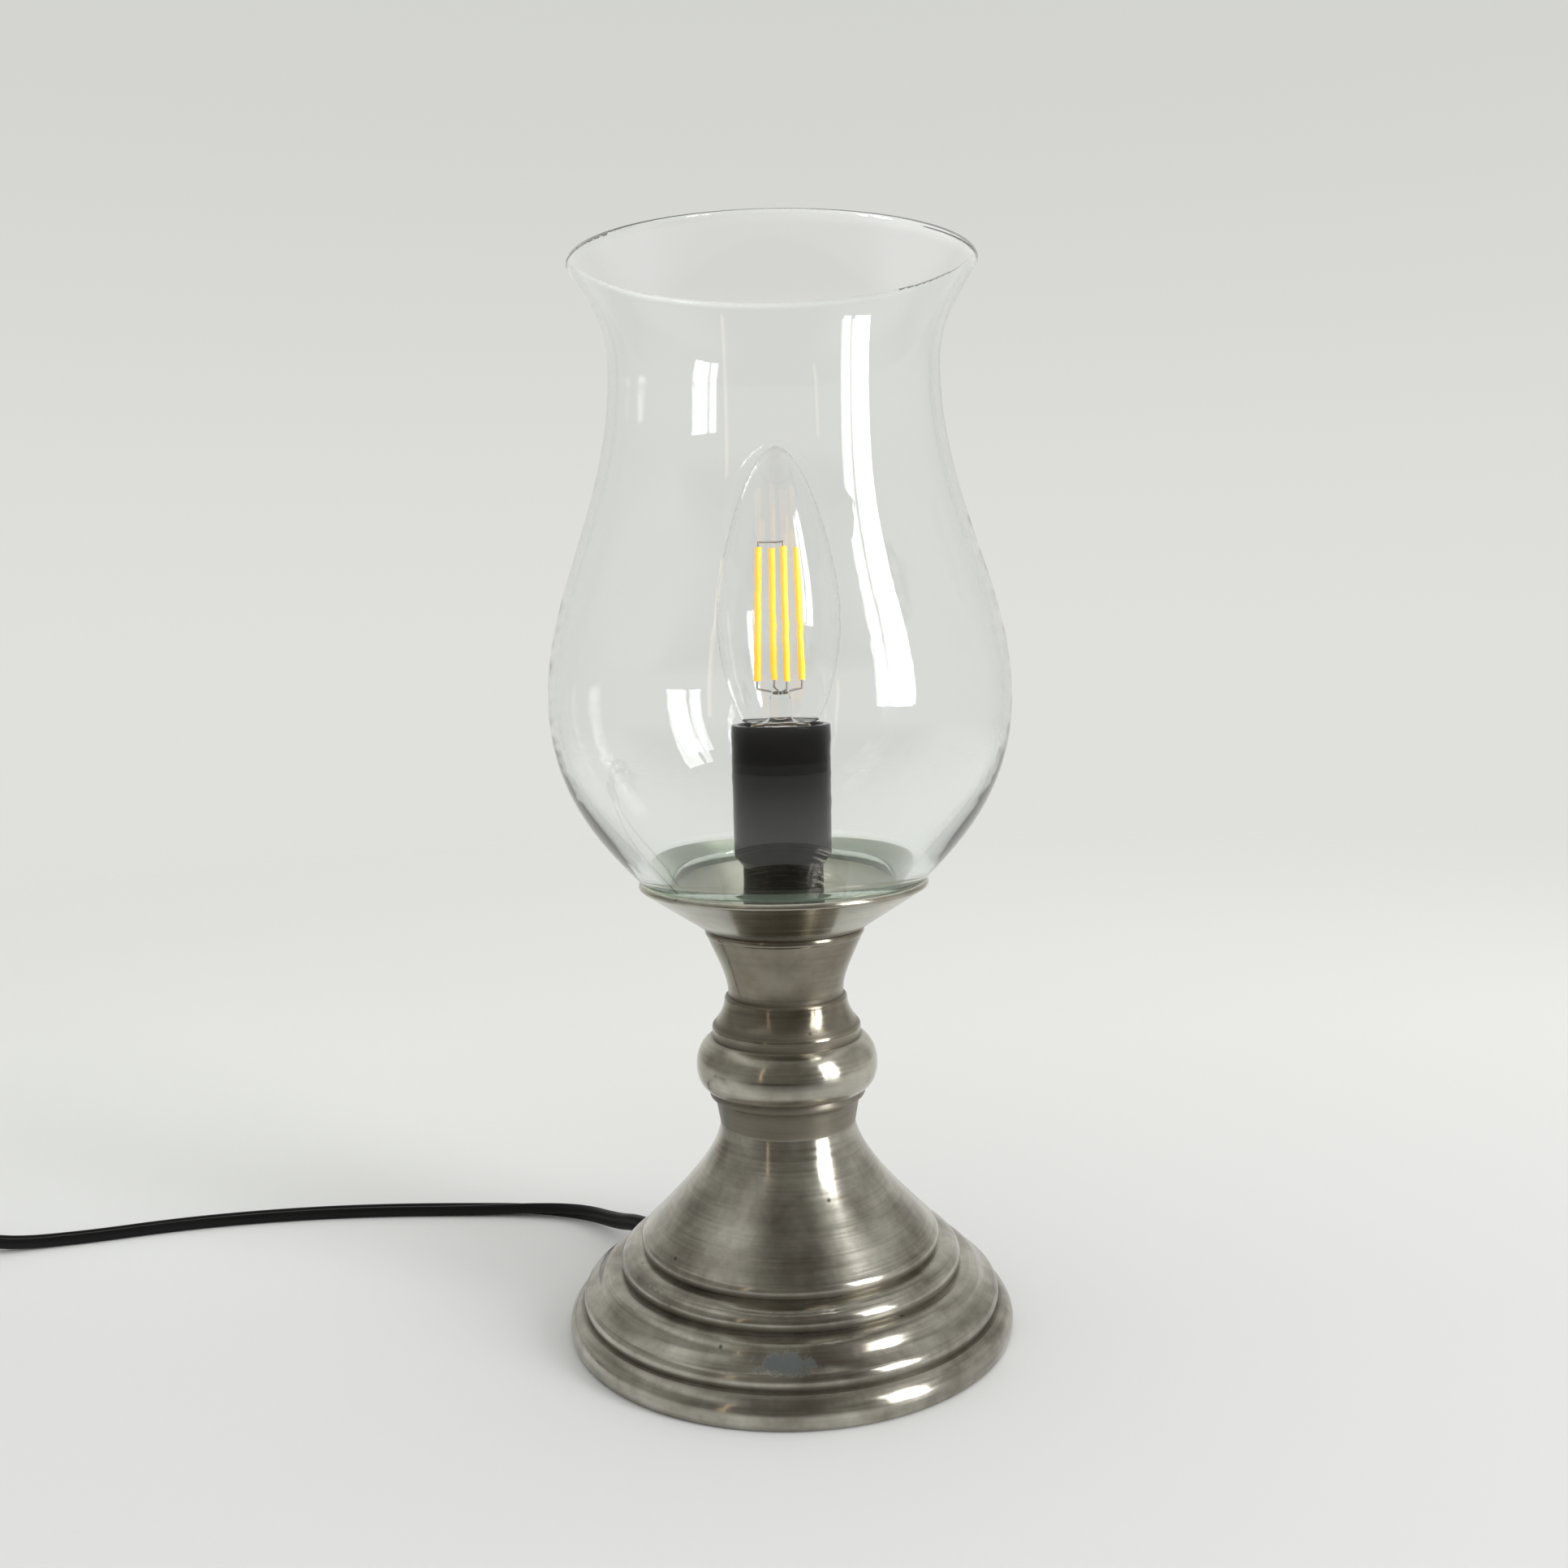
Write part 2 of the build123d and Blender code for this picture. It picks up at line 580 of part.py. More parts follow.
with BuildPart() as centre_contact:
    ring(0, CONTACT_RADIUS, contact_z, CONTACT_THICKNESS)
    ring(0, CONTACT_RIVET_RADIUS, insert_z, INSERT_FLOOR)
keep("centre_contact", centre_contact)

with BuildPart() as terminal_screws:
    with Locations((-TERMINAL_SPREAD, 0, insert_z), (TERMINAL_SPREAD, 0, insert_z)):
        Cylinder(
            TERMINAL_RADIUS,
            TERMINAL_LENGTH - 0.5,
            align=(Align.CENTER, Align.CENTER, Align.MIN),
        )
        Cylinder(
            TERMINAL_HEAD_RADIUS,
            TERMINAL_HEAD_HEIGHT,
            align=(Align.CENTER, Align.CENTER, Align.MAX),
        )
keep("terminal_screws", terminal_screws)

# Bulb: contact, insulator, threaded cap, glass, mount, filaments and wires
with BuildPart() as bulb_contact:
    insulator_z = bulb_z + BULB_CONTACT_HEIGHT
    ring(0, BULB_CONTACT_RADIUS, bulb_z, BULB_CONTACT_HEIGHT)
    fillet(bulb_contact.edges().group_by(Axis.Z)[0], BULB_CONTACT_HEIGHT / 2)
keep("bulb_contact", bulb_contact)

with BuildPart() as bulb_insulator:
    turned(
        (0, insulator_z),
        (BULB_CONTACT_RADIUS + 0.6, insulator_z),
        (BULB_CAP_ROOT_RADIUS - BULB_CAP_WALL - 0.3, bulb_cap_z - 0.4),
        (BULB_CAP_ROOT_RADIUS - BULB_CAP_WALL - 0.3, bulb_cap_z),
        (0, bulb_cap_z),
    )
keep("bulb_insulator", bulb_insulator)

collar_z = bulb_glass_z - BULB_COLLAR_HEIGHT
thread_z = bulb_cap_z + 0.8
with BuildPart() as bulb_cap:
    with BuildSketch(Plane.XZ):
        with BuildLine():
            Line((BULB_CAP_ROOT_RADIUS, bulb_cap_z), (BULB_CAP_ROOT_RADIUS, thread_z))
            for turn in range(BULB_THREAD_TURNS):
                low = thread_z + turn * BULB_THREAD_PITCH
                ThreePointArc(
                    (BULB_CAP_ROOT_RADIUS, low),
                    (BULB_CAP_CREST_RADIUS, low + BULB_THREAD_PITCH / 2),
                    (BULB_CAP_ROOT_RADIUS, low + BULB_THREAD_PITCH),
                )
            thread_end = (BULB_CAP_ROOT_RADIUS, thread_z + BULB_THREAD_TURNS * BULB_THREAD_PITCH)
            inner = BULB_CAP_ROOT_RADIUS - BULB_CAP_WALL
            Polyline(
                thread_end,
                (BULB_COLLAR_RADIUS, collar_z + 1.2),
                (BULB_COLLAR_RADIUS, bulb_glass_z),
                (BULB_COLLAR_RADIUS - BULB_CAP_WALL, bulb_glass_z),
                (BULB_COLLAR_RADIUS - BULB_CAP_WALL, collar_z + 1.5),
                (inner, thread_end[1]),
                (inner, bulb_cap_z),
                (BULB_CAP_ROOT_RADIUS, bulb_cap_z),
            )
        make_face()
    revolve(axis=Axis.Z)
keep("bulb_cap", bulb_cap)


def bulb_outline(depth):
    """The bulb's glass from its shoulder to its tip, depth millimetres inside its outer face."""
    wide = BULB_RADIUS - depth
    foot_r = BULB_SHOULDER_RADIUS - depth
    low = bulb_glass_z + BULB_SHOULDER
    middle = bulb_glass_z + BULB_WIDEST
    tip = bulb_glass_z + BULB_TIP - depth
    reach = BULB_TIP - BULB_WIDEST
    lower = [(foot_r, low), (foot_r + 3.5, low + 7), (wide, middle - 13), (wide, middle)]
    upper = [(wide, middle), (wide, middle + 0.32 * reach), (0.46 * wide, tip), (0, tip)]
    return lower, upper


with BuildPart() as bulb_glass:
    bulb_neck = BULB_COLLAR_RADIUS - BULB_CAP_WALL - 0.15
    with BuildSketch(Plane.XZ):
        with BuildLine():
            outer_low, outer_high = bulb_outline(0)
            inner_low, inner_high = bulb_outline(BULB_GLASS_WALL)
            bulb_base = bulb_glass_z - BULB_COLLAR_HEIGHT / 3
            Polyline(
                (bulb_neck - BULB_GLASS_WALL, bulb_base),
                (bulb_neck, bulb_base),
                (bulb_neck, bulb_glass_z + 0.3),
            )
            Line((bulb_neck, bulb_glass_z + 0.3), outer_low[0])
            Bezier(*outer_low)
            Bezier(*outer_high)
            Line(outer_high[-1], inner_high[-1])
            Bezier(*inner_high)
            Bezier(*inner_low)
            Polyline(
                inner_low[0],
                (bulb_neck - BULB_GLASS_WALL, bulb_glass_z + 0.3 + BULB_GLASS_WALL),
                (bulb_neck - BULB_GLASS_WALL, bulb_base),
            )
        make_face()
    revolve(axis=Axis.Z)
keep("bulb_glass", bulb_glass)

mount_z = bulb_glass_z - BULB_COLLAR_HEIGHT / 3
mount_top = bulb_glass_z + MOUNT_HEIGHT
with BuildPart() as bulb_mount:
    mount_flare = bulb_neck - BULB_GLASS_WALL - 0.1
    turned(
        (0, mount_z),
        (mount_flare, mount_z),
        (mount_flare, mount_z + 0.8),
        (MOUNT_RADIUS, mount_z + 3.5),
        (MOUNT_RADIUS, mount_top - 2),
        (MOUNT_RADIUS - 1, mount_top),
        (0, mount_top),
    )
keep("bulb_mount", bulb_mount)


def filament_ends(index):
    """The foot and top of one filament, leaning in towards the bulb's tip."""
    way = heading(FILAMENT_TURN + index * 360 / FILAMENT_COUNT)
    low = bulb_glass_z + FILAMENT_LIFT
    foot_end = way * FILAMENT_FOOT_CIRCLE + Vector(0, 0, low)
    top_end = way * FILAMENT_TOP_CIRCLE + Vector(0, 0, low + FILAMENT_LENGTH)
    return foot_end, top_end


def rod(start, end, radius):
    """A straight round rod between two points, added to the piece being made."""
    way = Vector(*end) - Vector(*start)
    with BuildSketch(Plane(origin=start, z_dir=way)) as section:
        Circle(radius)
    extrude(section.sketch, amount=way.length, dir=way.normalized())


with BuildPart() as filaments:
    for index in range(FILAMENT_COUNT):
        foot_end, top_end = filament_ends(index)
        rod(foot_end, top_end, FILAMENT_RADIUS)
keep("filaments", filaments)

with BuildPart() as filament_wires:
    for index in range(FILAMENT_COUNT):
        foot_end, top_end = filament_ends(index)
        way = (top_end - foot_end).normalized()
        low_knee = foot_end - way * 2.2
        rod(foot_end - way * WIRE_GAP, low_knee, WIRE_RADIUS)
        post = Vector(low_knee.X * 0.42, low_knee.Y * 0.42, low_knee.Z - 0.8)
        rod(low_knee, post, WIRE_RADIUS)
        rod(post, Vector(post.X, post.Y, mount_top + 0.1), WIRE_RADIUS)
    top_z = filament_ends(0)[1].Z + 1.4
    for index in range(FILAMENT_COUNT):
        foot_end, top_end = filament_ends(index)
        way = (top_end - foot_end).normalized()
        rod(top_end + way * WIRE_GAP, top_end + way * 1.6, WIRE_RADIUS)
        rod(top_end + way * 1.4, Vector(0, 0, top_z), WIRE_RADIUS)
keep("filament_wires", filament_wires)

# Glass shade: a bowl that seats in the dish, a belly, a narrow neck and a flared rim


def seat_height(radius, gap):
    """The height over the dish's cone at a radius, a gap away from its face."""
    return dish_z + (radius - DISH_FLOOR_RADIUS) * tan(slope) + (DISH_WALL + gap) / cos(slope)


def shade_wall(depth, foot_depth):
    """The shade's rim, neck, belly and bowl curves, inside the outer face by these depths."""
    rim = (SHADE_RIM_RADIUS - 0.84 * depth, SHADE_RIM_HEIGHT + 0.3 * depth)
    rim_pull = (SHADE_NECK_RADIUS + 3.6 - 0.9 * depth, SHADE_RIM_HEIGHT - 10 + 0.3 * depth)
    narrow = SHADE_NECK_RADIUS - depth
    wide = SHADE_BELLY_RADIUS - depth
    bowl_z = seat_height(SHADE_FOOT_RADIUS, SHADE_SEAT_GAP) + 0.85 * foot_depth
    bowl = (SHADE_FOOT_RADIUS - 0.6 * foot_depth, bowl_z)
    bowl_pull = (bowl[0] + 11.7, bowl[1] + 12.3)
    flare = [rim, rim_pull, (narrow, shade_neck_z + 10), (narrow, shade_neck_z)]
    span = shade_neck_z - SHADE_BELLY_HEIGHT
    shoulder = [
        (narrow, shade_neck_z),
        (narrow, shade_neck_z - 0.4 * span),
        (wide, SHADE_BELLY_HEIGHT + 0.34 * span),
        (wide, SHADE_BELLY_HEIGHT),
    ]
    drop = SHADE_BELLY_HEIGHT - bowl[1]
    belly = [(wide, SHADE_BELLY_HEIGHT), (wide, SHADE_BELLY_HEIGHT - 0.485 * drop), bowl_pull, bowl]
    mouth_r = SHADE_MOUTH_RADIUS - 0.3 * foot_depth
    mouth = (mouth_r, seat_height(mouth_r, SHADE_SEAT_GAP + foot_depth))
    return flare, shoulder, belly, mouth


with BuildPart() as glass_shade:
    with BuildSketch(Plane.XZ):
        with BuildLine():
            out_flare, out_shoulder, out_belly, out_mouth = shade_wall(0, 0)
            in_flare, in_shoulder, in_belly, in_mouth = shade_wall(SHADE_WALL, SHADE_FOOT_WALL)
            rim_tip_r = (out_flare[0][0] + in_flare[0][0]) / 2
            ThreePointArc(in_flare[0], (rim_tip_r + 0.5, SHADE_RIM_HEIGHT + 1.2), out_flare[0])
            Bezier(*out_flare)
            Bezier(*out_shoulder)
            Bezier(*out_belly)
            Line(out_belly[-1], out_mouth)
            mouth_tip = (in_mouth[0] - 0.8, (out_mouth[1] + in_mouth[1]) / 2 - 0.3)
            ThreePointArc(out_mouth, mouth_tip, in_mouth)
            Line(in_mouth, in_belly[-1])
            Bezier(*in_belly)
            Bezier(*in_shoulder)
            Bezier(*in_flare)
        make_face()
    revolve(axis=Axis.Z)
keep("glass_shade", glass_shade)


def corner_radii(route, label):
    """The largest arc that each corner of a cord's route takes, printed for the label."""
    points = [Vector(*p) for p in route]
    radii = []
    for before, corner, after in zip(points, points[1:], points[2:]):
        first = corner - before
        second = after - corner
        turn = radians(first.get_angle(second))
        radii.append(0.45 * min(first.length, second.length) / tan(turn / 2))
    print(label, "corner radii", [round(r, 1) for r in radii])
    return radii


def cord_tube(route, label):
    """A round cord along straight runs joined by tangent arcs."""
    with BuildPart() as tube:
        with BuildLine() as path:
            FilletPolyline(*route, radius=corner_radii(route, label))
        with BuildSketch(Plane(origin=path.wires()[0] @ 0, z_dir=path.wires()[0] % 0)):
            Circle(CORD_RADIUS)
        sweep()
    length = path.wires()[0].length
    share = tube.part.volume / (pi * CORD_RADIUS**2 * length)
    print(label, "length", round(length, 1), "volume over section times length", round(share, 4))
    return tube


# Hidden stretch of the cord, from the terminals down the tube and out through the foot
inner_route = [
    Vector(0, 0, chamber_z + 2),
    exit_way * -0.8 + Vector(0, 0, chamber_z - 29),
    exit_way * -0.8 + Vector(0, 0, tube_bottom_z + 28),
    Vector(0, 0, tube_bottom_z - 2),
    exit_way * 8 + Vector(0, 0, CORD_EXIT_HEIGHT + 18.6),
    exit_way * 20 + Vector(0, 0, CORD_EXIT_HEIGHT + 6.6),
    exit_way * 44 + Vector(0, 0, CORD_EXIT_HEIGHT),
    exit_point,
]
cord_inner = cord_tube(inner_route, "cord_inner")
keep("cord_inner", cord_inner)

switch_way = heading(SWITCH_HEADING)
switch_in = Vector(*SWITCH_START)
lead_route = [
    exit_point,
    exit_point + exit_way * EXIT_RUN,
    *[Vector(*p) for p in LEAD_POINTS],
    switch_in - switch_way * SWITCH_RUN,
    switch_in,
]
cord_lead = cord_tube(lead_route, "cord_lead")
keep("cord_lead", cord_lead)

# Switch in the cord, standing on the floor
switch_middle = switch_in + switch_way * (SWITCH_LENGTH / 2)
switch_plane = Plane(origin=(switch_middle.X, switch_middle.Y, 0), x_dir=switch_way, z_dir=(0, 0, 1))
switch_out = switch_in + switch_way * SWITCH_LENGTH
post_places = [(-SWITCH_POST_SPREAD, 0), (SWITCH_POST_SPREAD, 0)]
switch_top = SWITCH_LOWER_HEIGHT + SWITCH_UPPER_HEIGHT
with BuildPart() as switch_lower_case:
    with BuildSketch(switch_plane):
        RectangleRounded(SWITCH_LENGTH, SWITCH_WIDTH, SWITCH_CORNER)
    extrude(amount=SWITCH_LOWER_HEIGHT)
    fillet(switch_lower_case.edges().group_by(Axis.Z)[0], SWITCH_WALL / 2)
    with BuildSketch(switch_plane.offset(SWITCH_WALL)):
        RectangleRounded(
            SWITCH_LENGTH - 2 * SWITCH_WALL,
            SWITCH_WIDTH - 2 * SWITCH_WALL,
            SWITCH_CORNER - SWITCH_WALL,
        )
        with Locations(*post_places):
            Circle(SWITCH_POST_RADIUS, mode=Mode.SUBTRACT)
    extrude(amount=SWITCH_LOWER_HEIGHT, mode=Mode.SUBTRACT)
    with BuildSketch(switch_plane):
        with Locations(*post_places):
            Circle(SCREW_RADIUS + SCREW_CLEARANCE)
    extrude(amount=SWITCH_LOWER_HEIGHT, mode=Mode.SUBTRACT)
    with BuildSketch(switch_plane):
        with Locations(*post_places):
            Circle(SCREW_HEAD_RADIUS + SCREW_CLEARANCE)
    extrude(amount=SCREW_HEAD_HEIGHT + 1, mode=Mode.SUBTRACT)
keep("switch_lower_case", switch_lower_case)

window = (ROCKER_LENGTH + 2 * ROCKER_CLEARANCE, ROCKER_WIDTH + 2 * ROCKER_CLEARANCE)
with BuildPart() as switch_upper_case:
    with BuildSketch(switch_plane.offset(SWITCH_LOWER_HEIGHT)):
        RectangleRounded(SWITCH_LENGTH, SWITCH_WIDTH, SWITCH_CORNER)
    extrude(amount=SWITCH_UPPER_HEIGHT)
    fillet(switch_upper_case.edges().group_by(Axis.Z)[-1], SWITCH_WALL)
    with BuildSketch(switch_plane.offset(SWITCH_LOWER_HEIGHT)):
        RectangleRounded(
            SWITCH_LENGTH - 2 * SWITCH_WALL,
            SWITCH_WIDTH - 2 * SWITCH_WALL,
            SWITCH_CORNER - SWITCH_WALL,
        )
        with Locations(*post_places):
            Circle(SWITCH_POST_RADIUS, mode=Mode.SUBTRACT)
    extrude(amount=SWITCH_UPPER_HEIGHT - SWITCH_WALL, mode=Mode.SUBTRACT)
    with BuildSketch(switch_plane.offset(SWITCH_LOWER_HEIGHT)):
        Rectangle(*window)
    extrude(amount=SWITCH_UPPER_HEIGHT + 1, mode=Mode.SUBTRACT)
    with BuildSketch(switch_plane.offset(SWITCH_LOWER_HEIGHT)):
        with Locations(*post_places):
            Circle(SCREW_RADIUS + SCREW_CLEARANCE)
    extrude(amount=SWITCH_UPPER_HEIGHT / 2, mode=Mode.SUBTRACT)
keep("switch_upper_case", switch_upper_case)

pivot_z = switch_top - SWITCH_WALL - ROCKER_PIN_RADIUS - ROCKER_CLEARANCE
pivot_plane = Plane(
    origin=switch_plane.from_local_coords((0, 0, pivot_z)),
    x_dir=switch_way * cos(radians(ROCKER_TILT)) + Vector(0, 0, sin(radians(ROCKER_TILT))),
    z_dir=switch_way.cross(Vector(0, 0, 1)),
)
with BuildPart() as switch_rocker:
    rocker_depth = ROCKER_PIN_RADIUS + 1.5
    rocker_height = switch_top + ROCKER_RISE - pivot_z
    half = ROCKER_LENGTH / 2
    with BuildSketch(pivot_plane):
        with BuildLine():
            ThreePointArc((-half, rocker_height), (0, rocker_height - 1.4), (half, rocker_height))
            Polyline(
                (half, rocker_height),
                (half, 0.5),
                (0, -rocker_depth),
                (-half, 0.5),
                (-half, rocker_height),
            )
        make_face()
    extrude(amount=ROCKER_WIDTH / 2, both=True)
    with BuildSketch(pivot_plane):
        Circle(ROCKER_PIN_RADIUS)
    extrude(amount=SWITCH_WIDTH / 2 - SWITCH_WALL - ROCKER_CLEARANCE, both=True)
keep("switch_rocker", switch_rocker)

with BuildPart() as switch_screws:
    screw_seat = SCREW_HEAD_HEIGHT + 1
    with BuildSketch(switch_plane.offset(screw_seat)):
        with Locations(*post_places):
            Circle(SCREW_RADIUS)
    extrude(amount=SWITCH_LOWER_HEIGHT)
    with BuildSketch(switch_plane.offset(screw_seat - SCREW_HEAD_HEIGHT)):
        with Locations(*post_places):
            Circle(SCREW_HEAD_RADIUS)
    extrude(amount=SCREW_HEAD_HEIGHT)
keep("switch_screws", switch_screws)

with BuildPart() as switch_terminals:
    with BuildSketch(switch_plane.offset(SWITCH_WALL)):
        with Locations((-11, -5.5), (-11, 5.5), (11, -5.5), (11, 5.5)):
            RectangleRounded(7, 4, 0.8)
    extrude(amount=4)
keep("switch_terminals", switch_terminals)


def stepped_route(start, steps):
    """A route from a start point by runs, each with its azimuth and the height it ends at."""
    route = [start]
    for run, azimuth, height in steps:
        level = route[-1] + heading(azimuth) * run
        route.append(Vector(level.X, level.Y, height))
    return route


# Stretch between the switch and the coil
link_route = stepped_route(switch_out, LINK_STEPS)
cord_link = cord_tube(link_route, "cord_link")
keep("cord_link", cord_link)

# Coil of the spare cord: in along the floor, up half a turn, and out again on top
coil_in = link_route[-1]
coil_start = coil_in + switch_way * (2 * CORD_RADIUS)
coil_out_way = Vector(switch_way.Y, -switch_way.X, 0)
coil_centre = coil_start - coil_out_way * COIL_RADIUS
lower_radii = [COIL_RADIUS - k * COIL_PITCH / 2 for k in range(COIL_TURNS_IN)]
climb_radius = COIL_RADIUS - COIL_TURNS_IN * COIL_PITCH / 2
upper_radii = [climb_radius + k * COIL_PITCH / 2 for k in range(1, COIL_TURNS_OUT + 1)]
level_up = Vector(0, 0, COIL_PITCH)
with BuildPart() as cord_coil:
    with BuildLine() as coil_path:
        Line(coil_in, coil_start)
        place = COIL_RADIUS
        side = 1
        floor_centre = coil_centre
        for half_turn, radius in enumerate(lower_radii + [climb_radius] + upper_radii):
            if half_turn == COIL_TURNS_IN + 1:
                floor_centre = coil_centre + level_up
            middle_place = place - side * radius
            middle = floor_centre + coil_out_way * middle_place
            begin = floor_centre + coil_out_way * place
            finish = floor_centre + coil_out_way * (middle_place - side * radius)
            travel = switch_way * side
            if half_turn == COIL_TURNS_IN:
                reach = sqrt(radius**2 + COIL_PITCH**2 / 4)
                halfway = middle + travel * reach + level_up / 2
                rising = TangentArc(begin, halfway, tangent=travel)
                TangentArc(halfway, finish + level_up, tangent=rising % 1)
            else:
                ThreePointArc(begin, middle + travel * radius, finish)
            place = middle_place - side * radius
            side = -side
        coil_end = floor_centre + coil_out_way * place
        coil_out = coil_end + switch_way * side * (2 * CORD_RADIUS)
        Line(coil_end, coil_out)
    with BuildSketch(Plane(origin=coil_in, z_dir=switch_way)):
        Circle(CORD_RADIUS)
    sweep()
keep("cord_coil", cord_coil)

coil_wire = coil_path.wires()[0]
coil_steps = int(coil_wire.length / 1.5)
coil_points = [coil_wire @ (k / coil_steps) for k in range(coil_steps + 1)]
apart = int(30 / 1.5)
least = min(
    hypot(a.X - b.X, a.Y - b.Y, a.Z - b.Z)
    for k, a in enumerate(coil_points)
    for b in coil_points[k + apart :]
)
coil_share = cord_coil.part.volume / (pi * CORD_RADIUS**2 * coil_wire.length)
print("cord_coil length", round(coil_wire.length, 1), "volume share", round(coil_share, 4))
print("cord_coil least gap between turns", round(least - 2 * CORD_RADIUS, 2))

# Tie round the coil on the side away from the climbing turn
tie_low = COIL_HEIGHT - CORD_RADIUS - TIE_GAP / 2
tie_high = COIL_HEIGHT + COIL_PITCH + CORD_RADIUS + TIE_GAP / 2
tie_near = lower_radii[-1] - CORD_RADIUS - 1.2 - TIE_GAP
tie_far = COIL_RADIUS + CORD_RADIUS + TIE_GAP
tie_middle = coil_centre + switch_way * ((tie_near + tie_far) / 2) - coil_out_way * (COIL_PITCH / 2)
tie_plane = Plane(
    origin=(tie_middle.X, tie_middle.Y, (tie_low + tie_high) / 2),
    x_dir=switch_way,
    z_dir=coil_out_way,
)
tie_size = (tie_far - tie_near, tie_high - tie_low)
with BuildPart() as cord_tie:
    with BuildSketch(tie_plane):
        RectangleRounded(tie_size[0] + 2 * TIE_THICKNESS, tie_size[1] + 2 * TIE_THICKNESS, 3)
        RectangleRounded(*tie_size, 3 - TIE_THICKNESS, mode=Mode.SUBTRACT)
    extrude(amount=TIE_WIDTH / 2, both=True)
keep("cord_tie", cord_tie)

# Short tail from the coil to the plug
tail_route = stepped_route(coil_out, TAIL_STEPS)
cord_tail = cord_tube(tail_route, "cord_tail")
keep("cord_tail", cord_tail)

# Flat two-pin plug lying on the floor
plug_way = heading(PLUG_HEADING)
plug_plane = Plane(origin=tail_route[-1], x_dir=(-plug_way.Y, plug_way.X, 0), z_dir=plug_way)
grip_at = PLUG_RELIEF_LENGTH
face_at = grip_at + PLUG_BODY_LENGTH
pin_places = [(-PLUG_PIN_SPACING / 2, 0), (PLUG_PIN_SPACING / 2, 0)]
with BuildPart() as plug_body:
    with BuildSketch(plug_plane):
        Circle(PLUG_RELIEF_RADIUS)
    with BuildSketch(plug_plane.offset(grip_at)):
        Circle(PLUG_GRIP_HEIGHT / 2 - 0.5)
    loft()
    with BuildSketch(plug_plane.offset(grip_at)):
        RectangleRounded(PLUG_GRIP_WIDTH, PLUG_GRIP_HEIGHT, PLUG_GRIP_HEIGHT / 2 - 0.3)
    with BuildSketch(plug_plane.offset(face_at - PLUG_FACE_DEPTH)):
        RectangleRounded(PLUG_WIDTH, PLUG_HEIGHT, PLUG_HEIGHT / 2 - 0.3)
    loft()
    with BuildSketch(plug_plane.offset(face_at - PLUG_FACE_DEPTH)):
        RectangleRounded(PLUG_WIDTH, PLUG_HEIGHT, PLUG_HEIGHT / 2 - 0.3)
    extrude(amount=PLUG_FACE_DEPTH)
    with BuildSketch(plug_plane.offset(face_at)):
        with Locations(*pin_places):
            Circle(PLUG_PIN_RADIUS - 0.1)
    extrude(amount=PLUG_PIN_LENGTH / 2)
    with BuildSketch(plug_plane.offset(face_at - PLUG_FACE_DEPTH + 2)):
        with Locations(*pin_places):
            Circle(PLUG_PIN_RADIUS - 0.5)
    extrude(amount=PLUG_FACE_DEPTH + PLUG_PIN_LENGTH, mode=Mode.SUBTRACT)
keep("plug_body", plug_body)

with BuildPart() as plug_pins:
    with BuildSketch(plug_plane.offset(face_at - PLUG_FACE_DEPTH + 2)):
        with Locations(*pin_places):
            Circle(PLUG_PIN_RADIUS - 0.6)
    extrude(amount=PLUG_FACE_DEPTH - 2 + PLUG_PIN_LENGTH / 2)
    with BuildSketch(plug_plane.offset(face_at + PLUG_PIN_LENGTH / 2)):
        with Locations(*pin_places):
            Circle(PLUG_PIN_RADIUS)
    extrude(amount=PLUG_PIN_LENGTH / 2)
    far_edges = plug_pins.edges().sort_by(Axis(tail_route[-1], plug_way))[-2:]
    fillet(far_edges, PLUG_PIN_RADIUS * 0.7)
keep("plug_pins", plug_pins)

for name, piece in pieces.items():
    solids = piece.part.solids()
    print(name, len(solids), "solid", "valid" if piece.part.is_valid else "not valid")
print("switch in", switch_in, "switch out", switch_out)
print("coil centre", coil_centre, "coil in", coil_in, "coil out", coil_out)
print("plug from", tail_route[-1], "to", tail_route[-1] + plug_way * (face_at + PLUG_PIN_LENGTH))
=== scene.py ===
# %% [markdown]
# A pewter table lamp with a clear glass shade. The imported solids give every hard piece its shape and
# place, so this script mostly finishes surfaces. What is soft or limp on the real lamp, which is the
# cord, its tie and the felt, is modelled again here.

import math

import bmesh
import bpy
from mathutils import Matrix, Vector


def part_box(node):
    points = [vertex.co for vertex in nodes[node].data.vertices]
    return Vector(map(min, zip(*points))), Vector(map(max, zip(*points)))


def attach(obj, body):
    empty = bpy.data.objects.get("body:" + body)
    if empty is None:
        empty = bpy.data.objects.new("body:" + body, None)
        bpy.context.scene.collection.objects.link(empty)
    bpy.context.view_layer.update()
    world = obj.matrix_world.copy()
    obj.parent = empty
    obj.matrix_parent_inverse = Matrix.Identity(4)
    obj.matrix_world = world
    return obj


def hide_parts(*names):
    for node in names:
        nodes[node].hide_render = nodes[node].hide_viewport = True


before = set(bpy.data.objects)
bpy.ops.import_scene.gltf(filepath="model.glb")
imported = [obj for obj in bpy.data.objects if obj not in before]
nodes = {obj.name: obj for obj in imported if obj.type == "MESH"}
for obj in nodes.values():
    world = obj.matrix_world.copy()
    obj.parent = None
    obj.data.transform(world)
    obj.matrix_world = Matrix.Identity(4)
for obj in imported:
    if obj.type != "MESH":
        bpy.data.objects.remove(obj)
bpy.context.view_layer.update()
scene = bpy.context.scene

# %% [markdown]
# The camera stands where the photographer stood: close, a little above the bulb's holder, looking
# slightly down. Focal length and place were solved from the outlines of the rim, the dish and the foot.
# A close camera is what makes the shade's rim curve up and the foot's rings curve down in the same
# picture.

